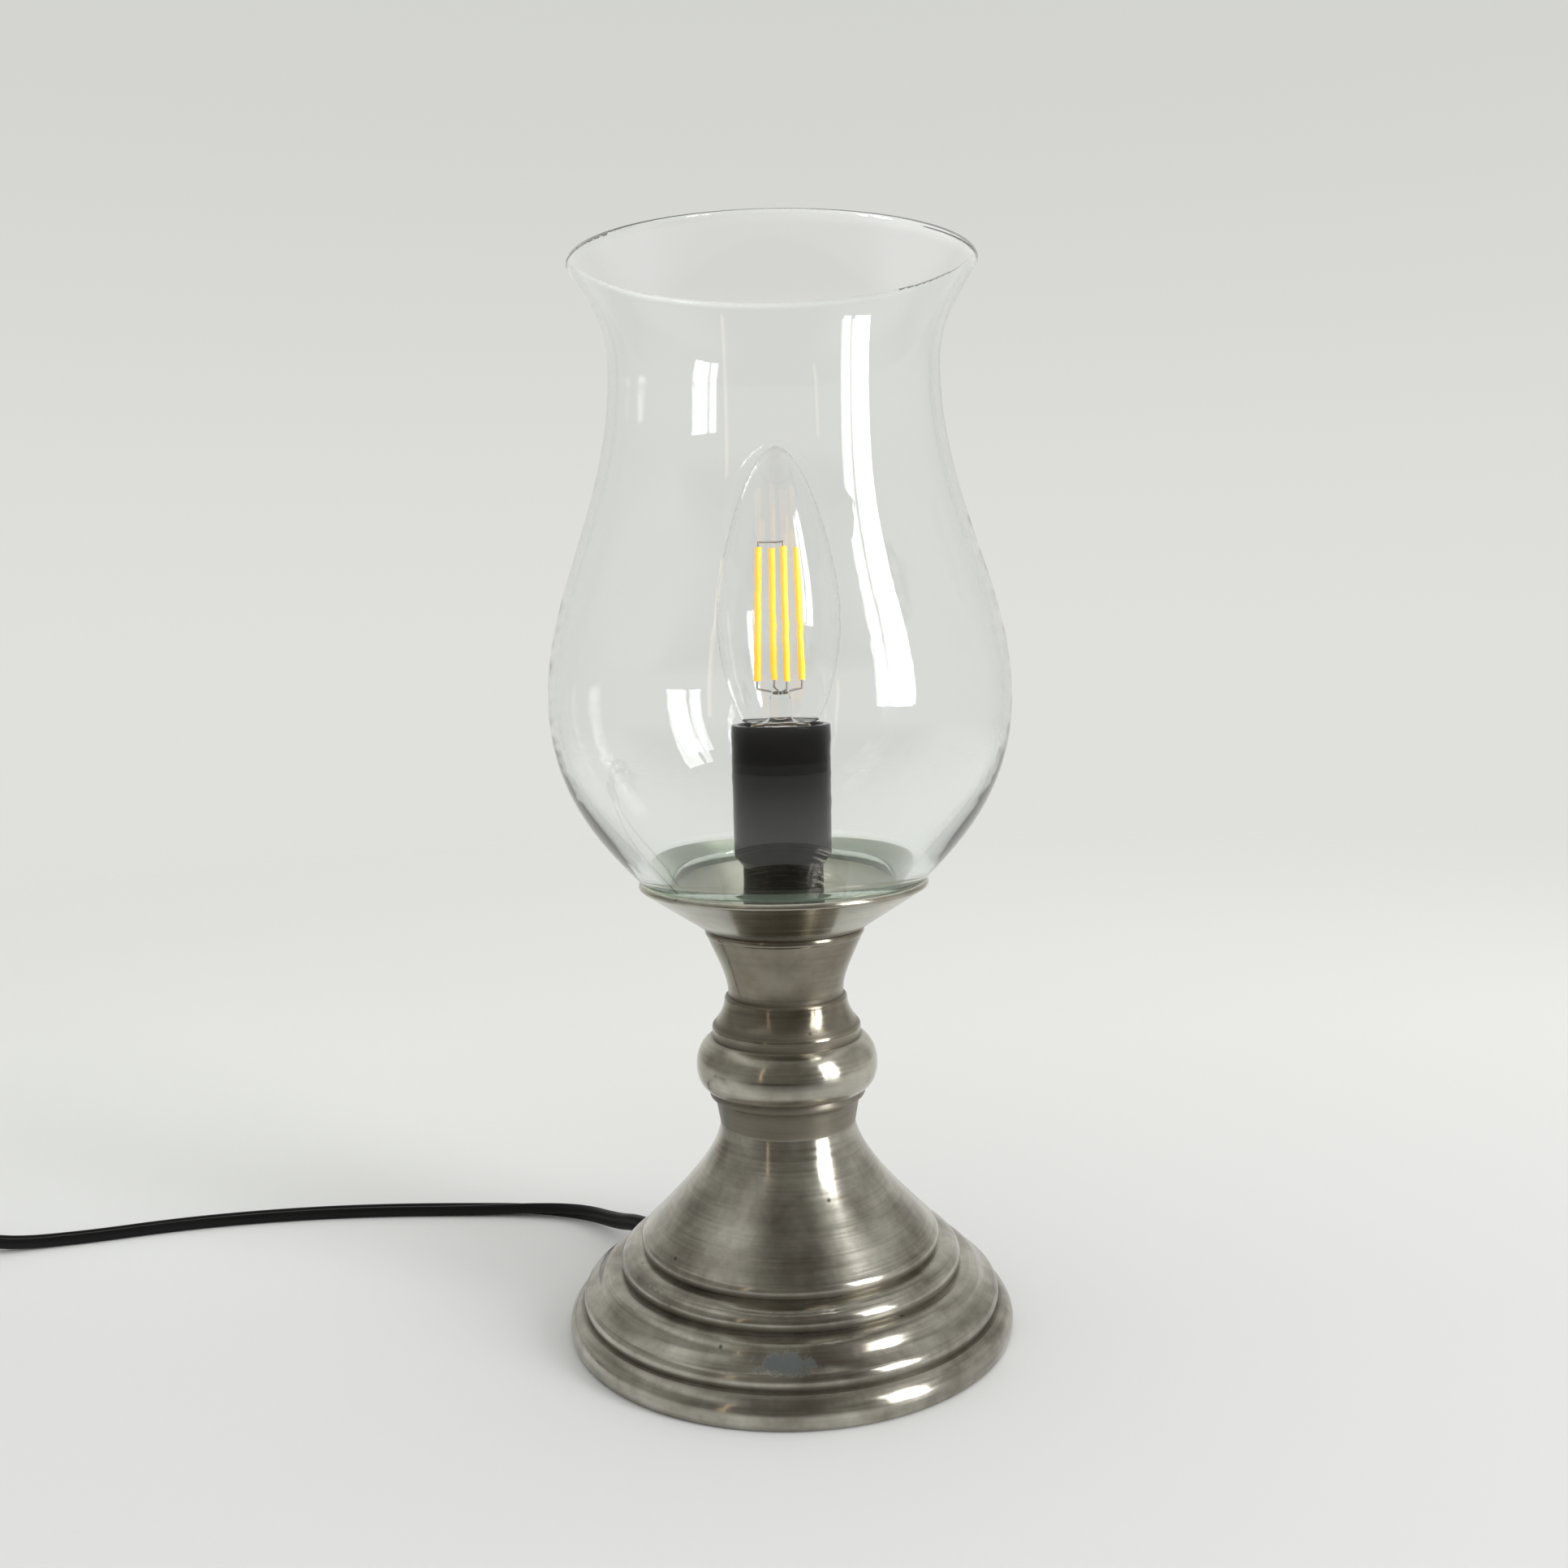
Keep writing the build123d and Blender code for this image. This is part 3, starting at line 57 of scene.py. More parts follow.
# %% Camera
PHOTO_SIDE = 1932
PHOTO_FOCAL = 1847.5
SENSOR_WIDTH = 36.0
CAMERA_PLACE = (0.00063, -0.4261, 0.2064)
CAMERA_PITCH = 6.29
CAMERA_ROLL = 1.09

camera_data = bpy.data.cameras.new("camera")
camera_data.sensor_width = SENSOR_WIDTH
camera_data.lens = SENSOR_WIDTH * PHOTO_FOCAL / PHOTO_SIDE
camera = bpy.data.objects.new("camera", camera_data)
scene.collection.objects.link(camera)
look_down = Matrix.Rotation(math.radians(90 - CAMERA_PITCH), 4, "X")
lean = Matrix.Rotation(math.radians(-CAMERA_ROLL), 4, "Z")
camera.matrix_world = Matrix.Translation(CAMERA_PLACE) @ look_down @ lean
scene.camera = camera
print("lens", round(camera_data.lens, 2), "mm")

# %% [markdown]
# The cord is flat twin flex: two cores side by side in one black skin. A curve swept with its own cross-
# section keeps the flat side down along the whole lie. The section is a closed curve with a shallow
# valley on each side, between the two cores. It is drawn with one unit to the millimetre, and the small
# radius of the route's points brings it down to its real size.

# %% Section of the flat cord
MM = 0.001
section_quarter = [(0.0, 1.12), (0.55, 1.62), (1.65, 1.83), (2.65, 1.1)]
section_points = (
    section_quarter
    + [(x, -y) for x, y in reversed(section_quarter)]
    + [(-x, -y) for x, y in section_quarter[1:]]
    + [(-x, y) for x, y in reversed(section_quarter[1:])]
)
section_data = bpy.data.curves.new("cord_section", "CURVE")
section_data.dimensions = "2D"
section_data.resolution_u = 3
section_spline = section_data.splines.new("NURBS")
section_spline.points.add(len(section_points) - 1)
for point, (x, y) in zip(section_spline.points, section_points):
    point.co = (x, y, 0, 1)
section_spline.order_u = 3
section_spline.use_cyclic_u = True
cord_section = bpy.data.objects.new("cord_section", section_data)
scene.collection.objects.link(cord_section)
cord_section.hide_render = True
cord_section.hide_viewport = True
print("cord section of", len(section_points), "points")

# %% [markdown]
# Each stretch of cord is one smooth spline through points that were chosen along its lie. The spline
# passes inside its corner points, as a real flex rounds every turn.


# %% Make a stretch of cord
def lay_cord(name, route, on_edge=()):
    """A flat cord along a route of points in millimetres, turned at its first points by these degrees."""
    data = bpy.data.curves.new(name, "CURVE")
    data.dimensions = "3D"
    data.twist_mode = "Z_UP"
    data.resolution_u = 6
    spline = data.splines.new("NURBS")
    spline.points.add(len(route) - 1)
    for point, place in zip(spline.points, route):
        point.co = (*(Vector(place) * MM), 1)
        point.radius = MM
    for point, turn in zip(spline.points, on_edge):
        point.tilt = math.radians(turn)
    spline.order_u = 3
    spline.use_endpoint_u = True
    data.bevel_mode = "OBJECT"
    data.bevel_object = cord_section
    data.use_fill_caps = True
    piece = bpy.data.objects.new(name, data)
    scene.collection.objects.link(piece)
    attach(piece, "stand")
    print(name, "laid through", len(route), "points")
    return piece


# %% [markdown]
# The lead leaves the foot at the back through its rubber bushing, drops to the table within a few
# centimetres and runs left in one long shallow bend to the switch. This is the stretch that the picture
# shows. It comes out of the bushing on edge and lies down flat over the first points, which a curve does
# by their tilt.

# %% Cord from the foot to the switch
FLOOR_LIE = 1.78
EXIT_HEIGHT = 8.4
EXIT_AZIMUTH = 134.0
EXIT_RADIUS = 66.5
EXIT_STRAIGHT = 6.5
SWITCH_HEIGHT = 8.5
exit_way = Vector((math.cos(math.radians(EXIT_AZIMUTH)), math.sin(math.radians(EXIT_AZIMUTH)), 0))
exit_rise = Vector((0, 0, EXIT_HEIGHT))
lead_route = [
    exit_way * EXIT_RADIUS + exit_rise,
    exit_way * (EXIT_RADIUS + EXIT_STRAIGHT) + exit_rise,
    (-57.8, 61.5, 5.0),
    (-71.0, 75.5, 3.0),
    (-89.8, 80.8, 2.55),
    (-113.7, 82.7, FLOOR_LIE),
    (-139.7, 83.4, FLOOR_LIE),
    (-164.7, 82.3, FLOOR_LIE),
    (-190.5, 78.9, FLOOR_LIE),
    (-214.9, 73.3, FLOOR_LIE),
    (-239.5, 64.8, FLOOR_LIE),
    (-264.6, 58.1, 2.4),
    (-280.19, 54.45, SWITCH_HEIGHT),
    (-295.9, 51.4, SWITCH_HEIGHT),
]
EXIT_TURNS = (90, 90, 85, 65, 25)
lead = lay_cord("flex_lead", lead_route, EXIT_TURNS)
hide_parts("cord_lead")

# %% [markdown]
# The rest of the cord is wound up out of the picture: half turns whose radius shrinks by half a pitch
# each time, then a climb to a second layer and half turns that grow again. Points every 15 degrees keep
# the turns round.

# %% Points of the coil
COIL_CENTRE = Vector((-386.84, -10.08, 0))
COIL_AXIS = Vector((-0.19081, 0.98163, 0))
COIL_WAY = Vector((-0.98163, -0.19081, 0))
COIL_START = 43.0
COIL_STEP = 2.8
LOWER_HALVES = 7
UPPER_HALVES = 5
LOWER_LAYER = 3.0
UPPER_LAYER = 6.5
STEPS_PER_HALF = 12
lower_halves = [COIL_START - COIL_STEP * half for half in range(LOWER_HALVES)]
climb_half = COIL_START - COIL_STEP * LOWER_HALVES
upper_halves = [climb_half + COIL_STEP * (half + 1) for half in range(UPPER_HALVES)]
halves = [(radius, LOWER_LAYER, LOWER_LAYER) for radius in lower_halves]
halves += [(climb_half, LOWER_LAYER, UPPER_LAYER)]
halves += [(radius, UPPER_LAYER, UPPER_LAYER) for radius in upper_halves]

coil_points = []
place = COIL_START
side = 1
for radius, low, high in halves:
    middle = place - side * radius
    for step in range(STEPS_PER_HALF):
        turn = math.pi * step / STEPS_PER_HALF
        along = middle + side * radius * math.cos(turn)
        across = side * radius * math.sin(turn)
        height = low + (high - low) * step / STEPS_PER_HALF
        coil_points.append(COIL_CENTRE + COIL_AXIS * along + COIL_WAY * across + Vector((0, 0, height)))
    place -= 2 * side * radius
    side = -side
coil_points.append(COIL_CENTRE + COIL_AXIS * place + Vector((0, 0, UPPER_LAYER)))
print("coil of", len(halves) / 2, "turns, points", len(coil_points))

# %% [markdown]
# The far stretch runs from the switch down to the coil, round all its turns, and up to the plug's
# sleeve. It is one spline, because on the real lamp it is one piece of cord.

# %% Cord from the switch to the plug
PLUG_HEIGHT = 6.85
far_route = [
    (-352.83, 40.33, SWITCH_HEIGHT),
    (-362.65, 38.43, SWITCH_HEIGHT),
    (-379.3, 35.2, LOWER_LAYER),
    (-387.1, 33.67, LOWER_LAYER),
    *coil_points,
    (-373.73, -51.34, UPPER_LAYER),
    (-365.88, -49.81, UPPER_LAYER),
    (-351.98, -48.11, PLUG_HEIGHT),
    (-343.99, -47.69, PLUG_HEIGHT),
]
far_cord = lay_cord("flex_coil", far_route)
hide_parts("cord_link", "cord_coil", "cord_tail")

# %% [markdown]
# Inside the stand the cord hangs down the clamping tube and turns out to the bushing. It is out of
# sight, but it is made the same way, so that the stand can be opened.

# %% Cord inside the stand
inside_route = [
    Vector((0, 0, 136.3)),
    exit_way * -0.8 + Vector((0, 0, 105.3)),
    exit_way * -0.8 + Vector((0, 0, 71.5)),
    Vector((0, 0, 41.5)),
    exit_way * 8 + Vector((0, 0, 27.0)),
    exit_way * 20 + Vector((0, 0, 15.0)),
    exit_way * 44 + exit_rise,
    exit_way * EXIT_RADIUS + exit_rise,
]
inside_cord = lay_cord("flex_inside", inside_route)
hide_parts("cord_inner")

# %% [markdown]
# A soft strap holds the coil. It is a band round the stack of turns: a rectangle with rounded corners,
# drawn out to the strap's width and then given its thickness.

# %% Strap round the coil
STRAP_NEAR = 23.0
STRAP_FAR = 46.2
STRAP_LOW = 1.0
STRAP_HIGH = 8.6
STRAP_WIDTH = 10.0
STRAP_THICKNESS = 0.85
STRAP_CORNER = 2.4

strap_mesh = bmesh.new()
corners = [
    (STRAP_NEAR, STRAP_LOW),
    (STRAP_FAR, STRAP_LOW),
    (STRAP_FAR, STRAP_HIGH),
    (STRAP_NEAR, STRAP_HIGH),
]
loop = [strap_mesh.verts.new((r * MM, -STRAP_WIDTH / 2 * MM, z * MM)) for r, z in corners]
for first, second in zip(loop, loop[1:] + loop[:1]):
    strap_mesh.edges.new((first, second))
bmesh.ops.bevel(
    strap_mesh,
    geom=strap_mesh.verts[:],
    offset=STRAP_CORNER * MM,
    affect="VERTICES",
    segments=6,
    profile=0.5,
    material=-1,
)
drawn = bmesh.ops.extrude_edge_only(strap_mesh, edges=strap_mesh.edges[:])
far_side = [v for v in drawn["geom"] if isinstance(v, bmesh.types.BMVert)]
bmesh.ops.translate(strap_mesh, verts=far_side, vec=(0, STRAP_WIDTH * MM, 0))
bmesh.ops.recalc_face_normals(strap_mesh, faces=strap_mesh.faces[:])
bmesh.ops.solidify(strap_mesh, geom=strap_mesh.faces[:], thickness=STRAP_THICKNESS * MM)
bmesh.ops.recalc_face_normals(strap_mesh, faces=strap_mesh.faces[:])
strap_place = Matrix.Identity(4)
for row in range(3):
    strap_place[row][0] = COIL_WAY[row]
    strap_place[row][1] = -COIL_AXIS[row]
    strap_place[row][3] = COIL_CENTRE[row] * MM
bmesh.ops.transform(strap_mesh, matrix=strap_place, verts=strap_mesh.verts[:])
strap_data = bpy.data.meshes.new("cord_strap")
strap_mesh.to_mesh(strap_data)
strap_mesh.free()
strap_data.shade_smooth()
strap = bpy.data.objects.new("cord_strap", strap_data)
scene.collection.objects.link(strap)
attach(strap, "stand")
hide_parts("cord_tie")
print("strap faces", len(strap_data.polygons))

# %% [markdown]

# %% [markdown]
# The felt under the foot is a soft disc, cut a little smaller than the foot. A knife presses its edge
# round, so a circle is drawn out to the felt's thickness and both its rims are bevelled.

# %% Felt under the foot
felt_low, felt_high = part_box("felt_pad")
FELT_EDGE = 0.6 * MM
SHARP_ANGLE = math.radians(45)
felt_mesh = bmesh.new()
bmesh.ops.create_circle(felt_mesh, cap_ends=True, segments=128, radius=felt_high[0])
bmesh.ops.translate(felt_mesh, verts=felt_mesh.verts[:], vec=(0, 0, felt_low[2]))
lifted = bmesh.ops.extrude_face_region(felt_mesh, geom=felt_mesh.faces[:])
top = [v for v in lifted["geom"] if isinstance(v, bmesh.types.BMVert)]
bmesh.ops.translate(felt_mesh, verts=top, vec=(0, 0, felt_high[2] - felt_low[2]))
bmesh.ops.recalc_face_normals(felt_mesh, faces=felt_mesh.faces[:])
rims = [e for e in felt_mesh.edges if len(e.link_faces) == 2 and e.calc_face_angle() > SHARP_ANGLE]
bmesh.ops.bevel(
    felt_mesh,
    geom=rims,
    offset=FELT_EDGE,
    affect="EDGES",
    segments=3,
    profile=0.5,
    material=-1,
)
felt_data = bpy.data.meshes.new("felt_disc")
felt_mesh.to_mesh(felt_data)
felt_mesh.free()
felt = bpy.data.objects.new("felt_disc", felt_data)
scene.collection.objects.link(felt)
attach(felt, "stand")
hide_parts("felt_pad")
print("felt faces", len(felt_data.polygons))

# %% [markdown]
# Colours are written as the hex values that a paint program shows. Blender's shaders work in linear
# light, so one function turns them. One more function adds a node, sets what is a plain value and links
# what is a socket. Its inputs are given by name, or in the order in which the node shows them, and a
# node that is given as an input is linked by the first output that it shows.


# %% Helpers for materials
COLOURS = {"data_type": "RGBA"}
NUMBERS = {"data_type": "FLOAT"}
SOFT = {"interpolation_type": "SMOOTHSTEP"}
LARGER = {"operation": "MAXIMUM"}
SMALLER = {"operation": "MINIMUM"}
NOISE_LOW = 0.3
NOISE_HIGH = 0.7


def linear(code):
    """A hex colour as linear red, green, blue and alpha."""
    parts = [int(code[i : i + 2], 16) / 255 for i in (1, 3, 5)]
    return (*[p / 12.92 if p <= 0.04045 else ((p + 0.055) / 1.055) ** 2.4 for p in parts], 1)


def add_node(tree, kind, settings=None, inputs=()):
    """One node of a kind, with its settings, and its inputs set or linked."""
    node = tree.nodes.new(kind)
    for name, value in (settings or {}).items():
        setattr(node, name, value)
    for place, value in inputs.items() if isinstance(inputs, dict) else enumerate(inputs):
        if isinstance(value, bpy.types.Node):
            value = next(socket for socket in value.outputs if socket.enabled)
        if isinstance(value, bpy.types.NodeSocket):
            tree.links.new(value, node.inputs[place])
        else:
            node.inputs[place].default_value = value
    return node


def new_material(name):
    """An empty material and its tree, ready for nodes."""
    material = bpy.data.materials.new(name)
    material.use_nodes = True
    material.node_tree.nodes.clear()
    return material, material.node_tree


def finish_nodes(material, *names):
    """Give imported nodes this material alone."""
    for name in names:
        slots = nodes[name].data.materials
        slots.clear()
        slots.append(material)
    print(material.name, "on", ", ".join(names))


print("middle grey #808080 is", round(linear("#808080")[0], 3), "in linear light")

# %% [markdown]
# Pewter is a soft grey tin alloy. The stand was turned on a lathe, so its skin has fine rings round the
# axis, which stretch every highlight upwards. The rings are noise that runs fast along the radius and
# height and slowly round the axis, so each one is a broken circle. Real tool marks are a few tenths of a
# millimetre apart, which the picture can't show, so they are drawn about three times coarser.

# %% Rings of the lathe
RING_SPACING = 0.9 * MM
STREAK_LENGTH = 30 * MM
NO_HEIGHT = (1, 1, 0)


def axis_distance(tree, coords):
    """How far a point lies from the lamp's upright axis."""
    level = add_node(tree, "ShaderNodeVectorMath", {"operation": "MULTIPLY"}, [coords, NO_HEIGHT])
    return add_node(tree, "ShaderNodeVectorMath", {"operation": "LENGTH"}, [level])


def lathe_rings(tree, coords, spacing, detail):
    """Noise that changes fast along radius and height and slowly round the axis."""
    height = add_node(tree, "ShaderNodeSeparateXYZ", inputs=[coords]).outputs[2]
    slowness = spacing / STREAK_LENGTH
    slow = add_node(tree, "ShaderNodeVectorMath", {"operation": "SCALE"}, {0: coords, "Scale": slowness})
    slow_x, slow_y, _ = add_node(tree, "ShaderNodeSeparateXYZ", inputs=[slow]).outputs
    place = add_node(tree, "ShaderNodeCombineXYZ", inputs=[axis_distance(tree, coords), height, slow_x])
    rings = {"Vector": place, "W": slow_y, "Scale": 1 / spacing, "Detail": detail}
    return add_node(tree, "ShaderNodeTexNoise", {"noise_dimensions": "4D"}, rings)


print("rings", round(RING_SPACING / MM, 2), "mm apart, streaks", round(STREAK_LENGTH / MM), "mm long")

# %% [markdown]
# A polishing cloth doesn't reach into the grooves, so old polish and oxide stay there and dull the
# metal. A colour ramp over the height makes a mask: one just above each groove, and fading upwards. The
# narrow collar between foot and knop has been missed by the cloth altogether, and is in the same mask,
# as is the lowest edge, which is darkened where it meets the table.

# %% Residue in the grooves
STAND_TOP = 125 * MM
# The lowest edge is darker where it meets the table.
LOWEST_EDGE_DARK = 0.6
LOWEST_EDGE_FADE_MM = [(1.8, 0.0)]
GROOVE_HEIGHTS_MM = [8.6, 19.3, 25.6, 86.5, 89.8, 98.2, 118.6]
GROOVE_SPREAD_MM = [(-0.4, 0.0), (0.5, 1.0), (2.2, 0.0)]
COLLAR_MM = [(60.4, 0.0), (61.3, 0.8), (70.4, 0.8), (72.1, 0.0)]


def groove_mask(tree, height):
    """One at the grooves and fading to nought beside them."""
    share = add_node(tree, "ShaderNodeMapRange", inputs=[height, 0.0, STAND_TOP, 0.0, 1.0])
    ramp = add_node(tree, "ShaderNodeValToRGB", inputs=[share])
    stops = ramp.color_ramp.elements
    stops[0].color = (LOWEST_EDGE_DARK, LOWEST_EDGE_DARK, LOWEST_EDGE_DARK, 1)
    stops[1].color = (0, 0, 0, 1)
    grooves = [(groove + rise, value) for groove in GROOVE_HEIGHTS_MM for rise, value in GROOVE_SPREAD_MM]
    for at, value in LOWEST_EDGE_FADE_MM + grooves + COLLAR_MM:
        stops.new(at * MM / STAND_TOP).color = (value, value, value, 1)
    return ramp


print("grooves with residue", len(GROOVE_HEIGHTS_MM))

# %% [markdown]
# Two marks belong to this lamp: a bluish patch of oxide on the front of the foot, and scattered small
# pits. Both are masks on the same metal. The patch is a stretched distance from its middle, made ragged
# by noise. The pits are the middles of cells in a cell pattern.

# %% Marks on the pewter
PATCH_PLACE = (-0.0022, -0.0565, 0.0150)
PATCH_SIZE = (0.0105, 0.02, 0.0032)
PATCH_EDGE = (1.35, 1.65)
PATCH_STRENGTH = 0.8
RAGGED_SIZE = 3.85 * MM
RAGGED_DEPTH = 1.8
PIT_SPACING = 11 * MM
PIT_EDGE = (0.03, 0.07)
PIT_STRENGTH = 0.75


def patch_mask(tree, coords):
    """Nearly one inside the ragged patch of oxide on the foot."""
    away = add_node(tree, "ShaderNodeVectorMath", {"operation": "SUBTRACT"}, [coords, PATCH_PLACE])
    scaled = add_node(tree, "ShaderNodeVectorMath", {"operation": "DIVIDE"}, [away, PATCH_SIZE])
    reach = add_node(tree, "ShaderNodeVectorMath", {"operation": "LENGTH"}, [scaled])
    tears = {"Vector": coords, "Scale": 1 / RAGGED_SIZE, "Detail": 4.0, "Roughness": 0.7}
    ragged = add_node(tree, "ShaderNodeTexNoise", inputs=tears)
    edge = add_node(tree, "ShaderNodeMath", {"operation": "MULTIPLY_ADD"}, [ragged, RAGGED_DEPTH, reach])
    return add_node(tree, "ShaderNodeMapRange", inputs=[edge, *PATCH_EDGE, PATCH_STRENGTH, 0.0])


def pit_mask(tree, coords):
    """Nearly one in small pits, about a centimetre apart."""
    cells = add_node(tree, "ShaderNodeTexVoronoi", inputs={"Vector": coords, "Scale": 1 / PIT_SPACING})
    return add_node(tree, "ShaderNodeMapRange", inputs=[cells, *PIT_EDGE, PIT_STRENGTH, 0.0])


print("pits about", round(PIT_SPACING / MM), "mm apart")

# %% [markdown]
# The dish is the same pewter, but its inside is never rubbed: it has gone dull and even grey. Its inner
# face is where the height is more than half the wall above the outer cone.

# %% Inside of the dish
DISH_FOOT_RADIUS = 23.5 * MM
DISH_FOOT_HEIGHT = 118.8 * MM
DISH_SLOPE = math.tan(math.radians(33.7))
DISH_HALF_WALL = (1.4 * MM, 1.9 * MM)


def dish_mask(tree, coords, height):
    """One on the inside of the dish, nought on its outside."""
    radius = axis_distance(tree, coords)
    cone = add_node(tree, "ShaderNodeMath", {"operation": "MULTIPLY_ADD"}, [radius, -DISH_SLOPE, height])
    cone_foot = DISH_FOOT_HEIGHT - DISH_FOOT_RADIUS * DISH_SLOPE
    low, high = [cone_foot + depth for depth in DISH_HALF_WALL]
    return add_node(tree, "ShaderNodeMapRange", inputs=[cone, low, high, 0.0, 1.0])


print("dish rises", round(DISH_SLOPE, 3), "m for each metre outwards")

# %% [markdown]
# Now the metal itself. Handled pewter is light and faintly yellow where cloth and fingers rub it, and
# clouds of grey tarnish lie between. The rings darken and lighten the colour a little, change the gloss
# and give a slight relief, and anisotropy draws the highlights out across them. Where residue, oxide or
# the dish's dull inside covers the metal, the surface is less metallic and much rougher.

# %% Tones of the pewter
PEWTER_LIGHT = linear("#C3C0B5")
PEWTER_WARM = linear("#A09B8E")
PEWTER_TARNISH = linear("#8C877D")
PEWTER_UNRUBBED = linear("#989385")
PEWTER_BROWN = linear("#7B7466")
PEWTER_DARK = linear("#423D34")
PEWTER_RESIDUE = linear("#6A6458")
PEWTER_OXIDE = linear("#5A6469")
PEWTER_DULL = linear("#CCCABC")
CLOUD_SIZE = 20 * MM
CLOUD_EDGE = (0.36, 0.66)
RING_TONES = (0.87, 1.09)
BAND_TONES = (0.92, 1.07)
RINGS_PER_BAND = 4
POLISH = (0.14, 0.26)
RESIDUE_ROUGH = 0.5
RESIDUE_METAL = 0.55
DULL_ROUGH = 0.6
DULL_METAL = 0.2
RING_RELIEF = 0.1 * MM


def ringed_colour(tree, tone, rings, bands):
    """A tone made lighter and darker by the fine rings and by broader bands of them."""
    fine = add_node(tree, "ShaderNodeMapRange", inputs=[rings, NOISE_LOW, NOISE_HIGH, *RING_TONES])
    broad = add_node(tree, "ShaderNodeMapRange", inputs=[bands, NOISE_LOW, NOISE_HIGH, *BAND_TONES])
    both = add_node(tree, "ShaderNodeMath", {"operation": "MULTIPLY"}, [fine, broad])
    return add_node(tree, "ShaderNodeVectorMath", {"operation": "SCALE"}, {0: tone, "Scale": both})


print("pewter rubbed to", [round(part, 2) for part in PEWTER_LIGHT[:3]])

# %% [markdown]
# Each casting of the stand has been handled in its own way, so the same metal is made four times, from a
# rubbed tone and the tone that it ages to. The material is built up in layers: tone, residue, rings,
# oxide, pits and, for the dish, its dull inside over all of them.


# %% Pewter of the stand
def turned_pewter(name, rubbed, aged, has_inside):
    """Turned pewter that ages to a tone, with a dull inside where there is one."""
    material, tree = new_material(name)
    coords = add_node(tree, "ShaderNodeTexCoord").outputs["Object"]
    height = add_node(tree, "ShaderNodeSeparateXYZ", inputs=[coords]).outputs[2]
    rings = lathe_rings(tree, coords, RING_SPACING, detail=3.0)
    bands = lathe_rings(tree, coords, RINGS_PER_BAND * RING_SPACING, detail=1.0)
    tarnish = {"Vector": coords, "Scale": 1 / CLOUD_SIZE, "Detail": 5.0, "Roughness": 0.62}
    clouds = add_node(tree, "ShaderNodeTexNoise", inputs=tarnish)
    worn = add_node(tree, "ShaderNodeMapRange", inputs=[clouds, *CLOUD_EDGE, 0.0, 1.0])
    residue = groove_mask(tree, height)
    oxide = patch_mask(tree, coords)
    pits = pit_mask(tree, coords)
    dulled = add_node(tree, "ShaderNodeMath", LARGER, [residue, oxide])

    tone = add_node(tree, "ShaderNodeMix", COLOURS, {"Factor": worn, "A": rubbed, "B": aged})
    filled = add_node(tree, "ShaderNodeMix", COLOURS, {"Factor": residue, "A": tone, "B": PEWTER_RESIDUE})
    ringed = ringed_colour(tree, filled, rings, bands)
    patched = add_node(tree, "ShaderNodeMix", COLOURS, {"Factor": oxide, "A": ringed, "B": PEWTER_OXIDE})
    colour = add_node(tree, "ShaderNodeMix", COLOURS, {"Factor": pits, "A": patched, "B": PEWTER_DARK})
    polish = add_node(tree, "ShaderNodeMapRange", inputs=[rings, NOISE_LOW, NOISE_HIGH, *POLISH])
    rough = add_node(tree, "ShaderNodeMix", NUMBERS, {"Factor": dulled, "A": polish, "B": RESIDUE_ROUGH})
    metal = add_node(tree, "ShaderNodeMapRange", inputs=[dulled, 0.0, 1.0, 1.0, RESIDUE_METAL])
    if has_inside:
        inside = dish_mask(tree, coords, height)
        greys = {"Factor": worn, "A": PEWTER_DULL, "B": PEWTER_LIGHT}
        grey = add_node(tree, "ShaderNodeMix", COLOURS, greys)
        colour = add_node(tree, "ShaderNodeMix", COLOURS, {"Factor": inside, "A": colour, "B": grey})
        rough = add_node(tree, "ShaderNodeMix", NUMBERS, {"Factor": inside, "A": rough, "B": DULL_ROUGH})
        metal = add_node(tree, "ShaderNodeMix", NUMBERS, {"Factor": inside, "A": metal, "B": DULL_METAL})

    raised = {"Strength": 0.13, "Distance": RING_RELIEF, "Height": rings}
    relief = add_node(tree, "ShaderNodeBump", inputs=raised)
    shader = add_node(
        tree,
        "ShaderNodeBsdfPrincipled",
        inputs={
            "Base Color": colour,
            "Metallic": metal,
            "Roughness": rough,
            "Anisotropic": 0.75,
            "Anisotropic Rotation": 0.25,
            "Normal": relief,
        },
    )
    add_node(tree, "ShaderNodeOutputMaterial", inputs={"Surface": shader})
    return material


# The foot shows the strongest clouds of tarnish between rubbed, light metal.
pewter = turned_pewter("turned_pewter", PEWTER_LIGHT, PEWTER_TARNISH, has_inside=False)
# The knop is where a hand holds the lamp, so it is light, with warmer clouds.
knop_pewter = turned_pewter("turned_pewter_knop", PEWTER_LIGHT, PEWTER_UNRUBBED, has_inside=False)
# The neck is seldom touched, and looks darker and browner than the rest.
neck_pewter = turned_pewter("turned_pewter_neck", PEWTER_UNRUBBED, PEWTER_BROWN, has_inside=False)
# The dish is bright outside and a flat pale grey inside.
dish_pewter = turned_pewter("turned_pewter_dish", PEWTER_LIGHT, PEWTER_WARM, has_inside=True)
finish_nodes(pewter, "foot")
finish_nodes(knop_pewter, "knop")
finish_nodes(neck_pewter, "neck")
finish_nodes(dish_pewter, "dish")

# %% [markdown]
# The shade is blown soda-lime glass. It is clear through the wall, and only where light runs along the
# wall do its iron traces show as green. So the tint is in the volume, and the thick foot has a green of
# its own. Light that has run on inside the wall comes out again at the melted rim and at the foot. A
# render follows it for a few bounces only and would leave both edges black, so a little dull white or
# green there stands in for that light. A transparent shader for shadow rays lets the lamps through, as
# real glass would.

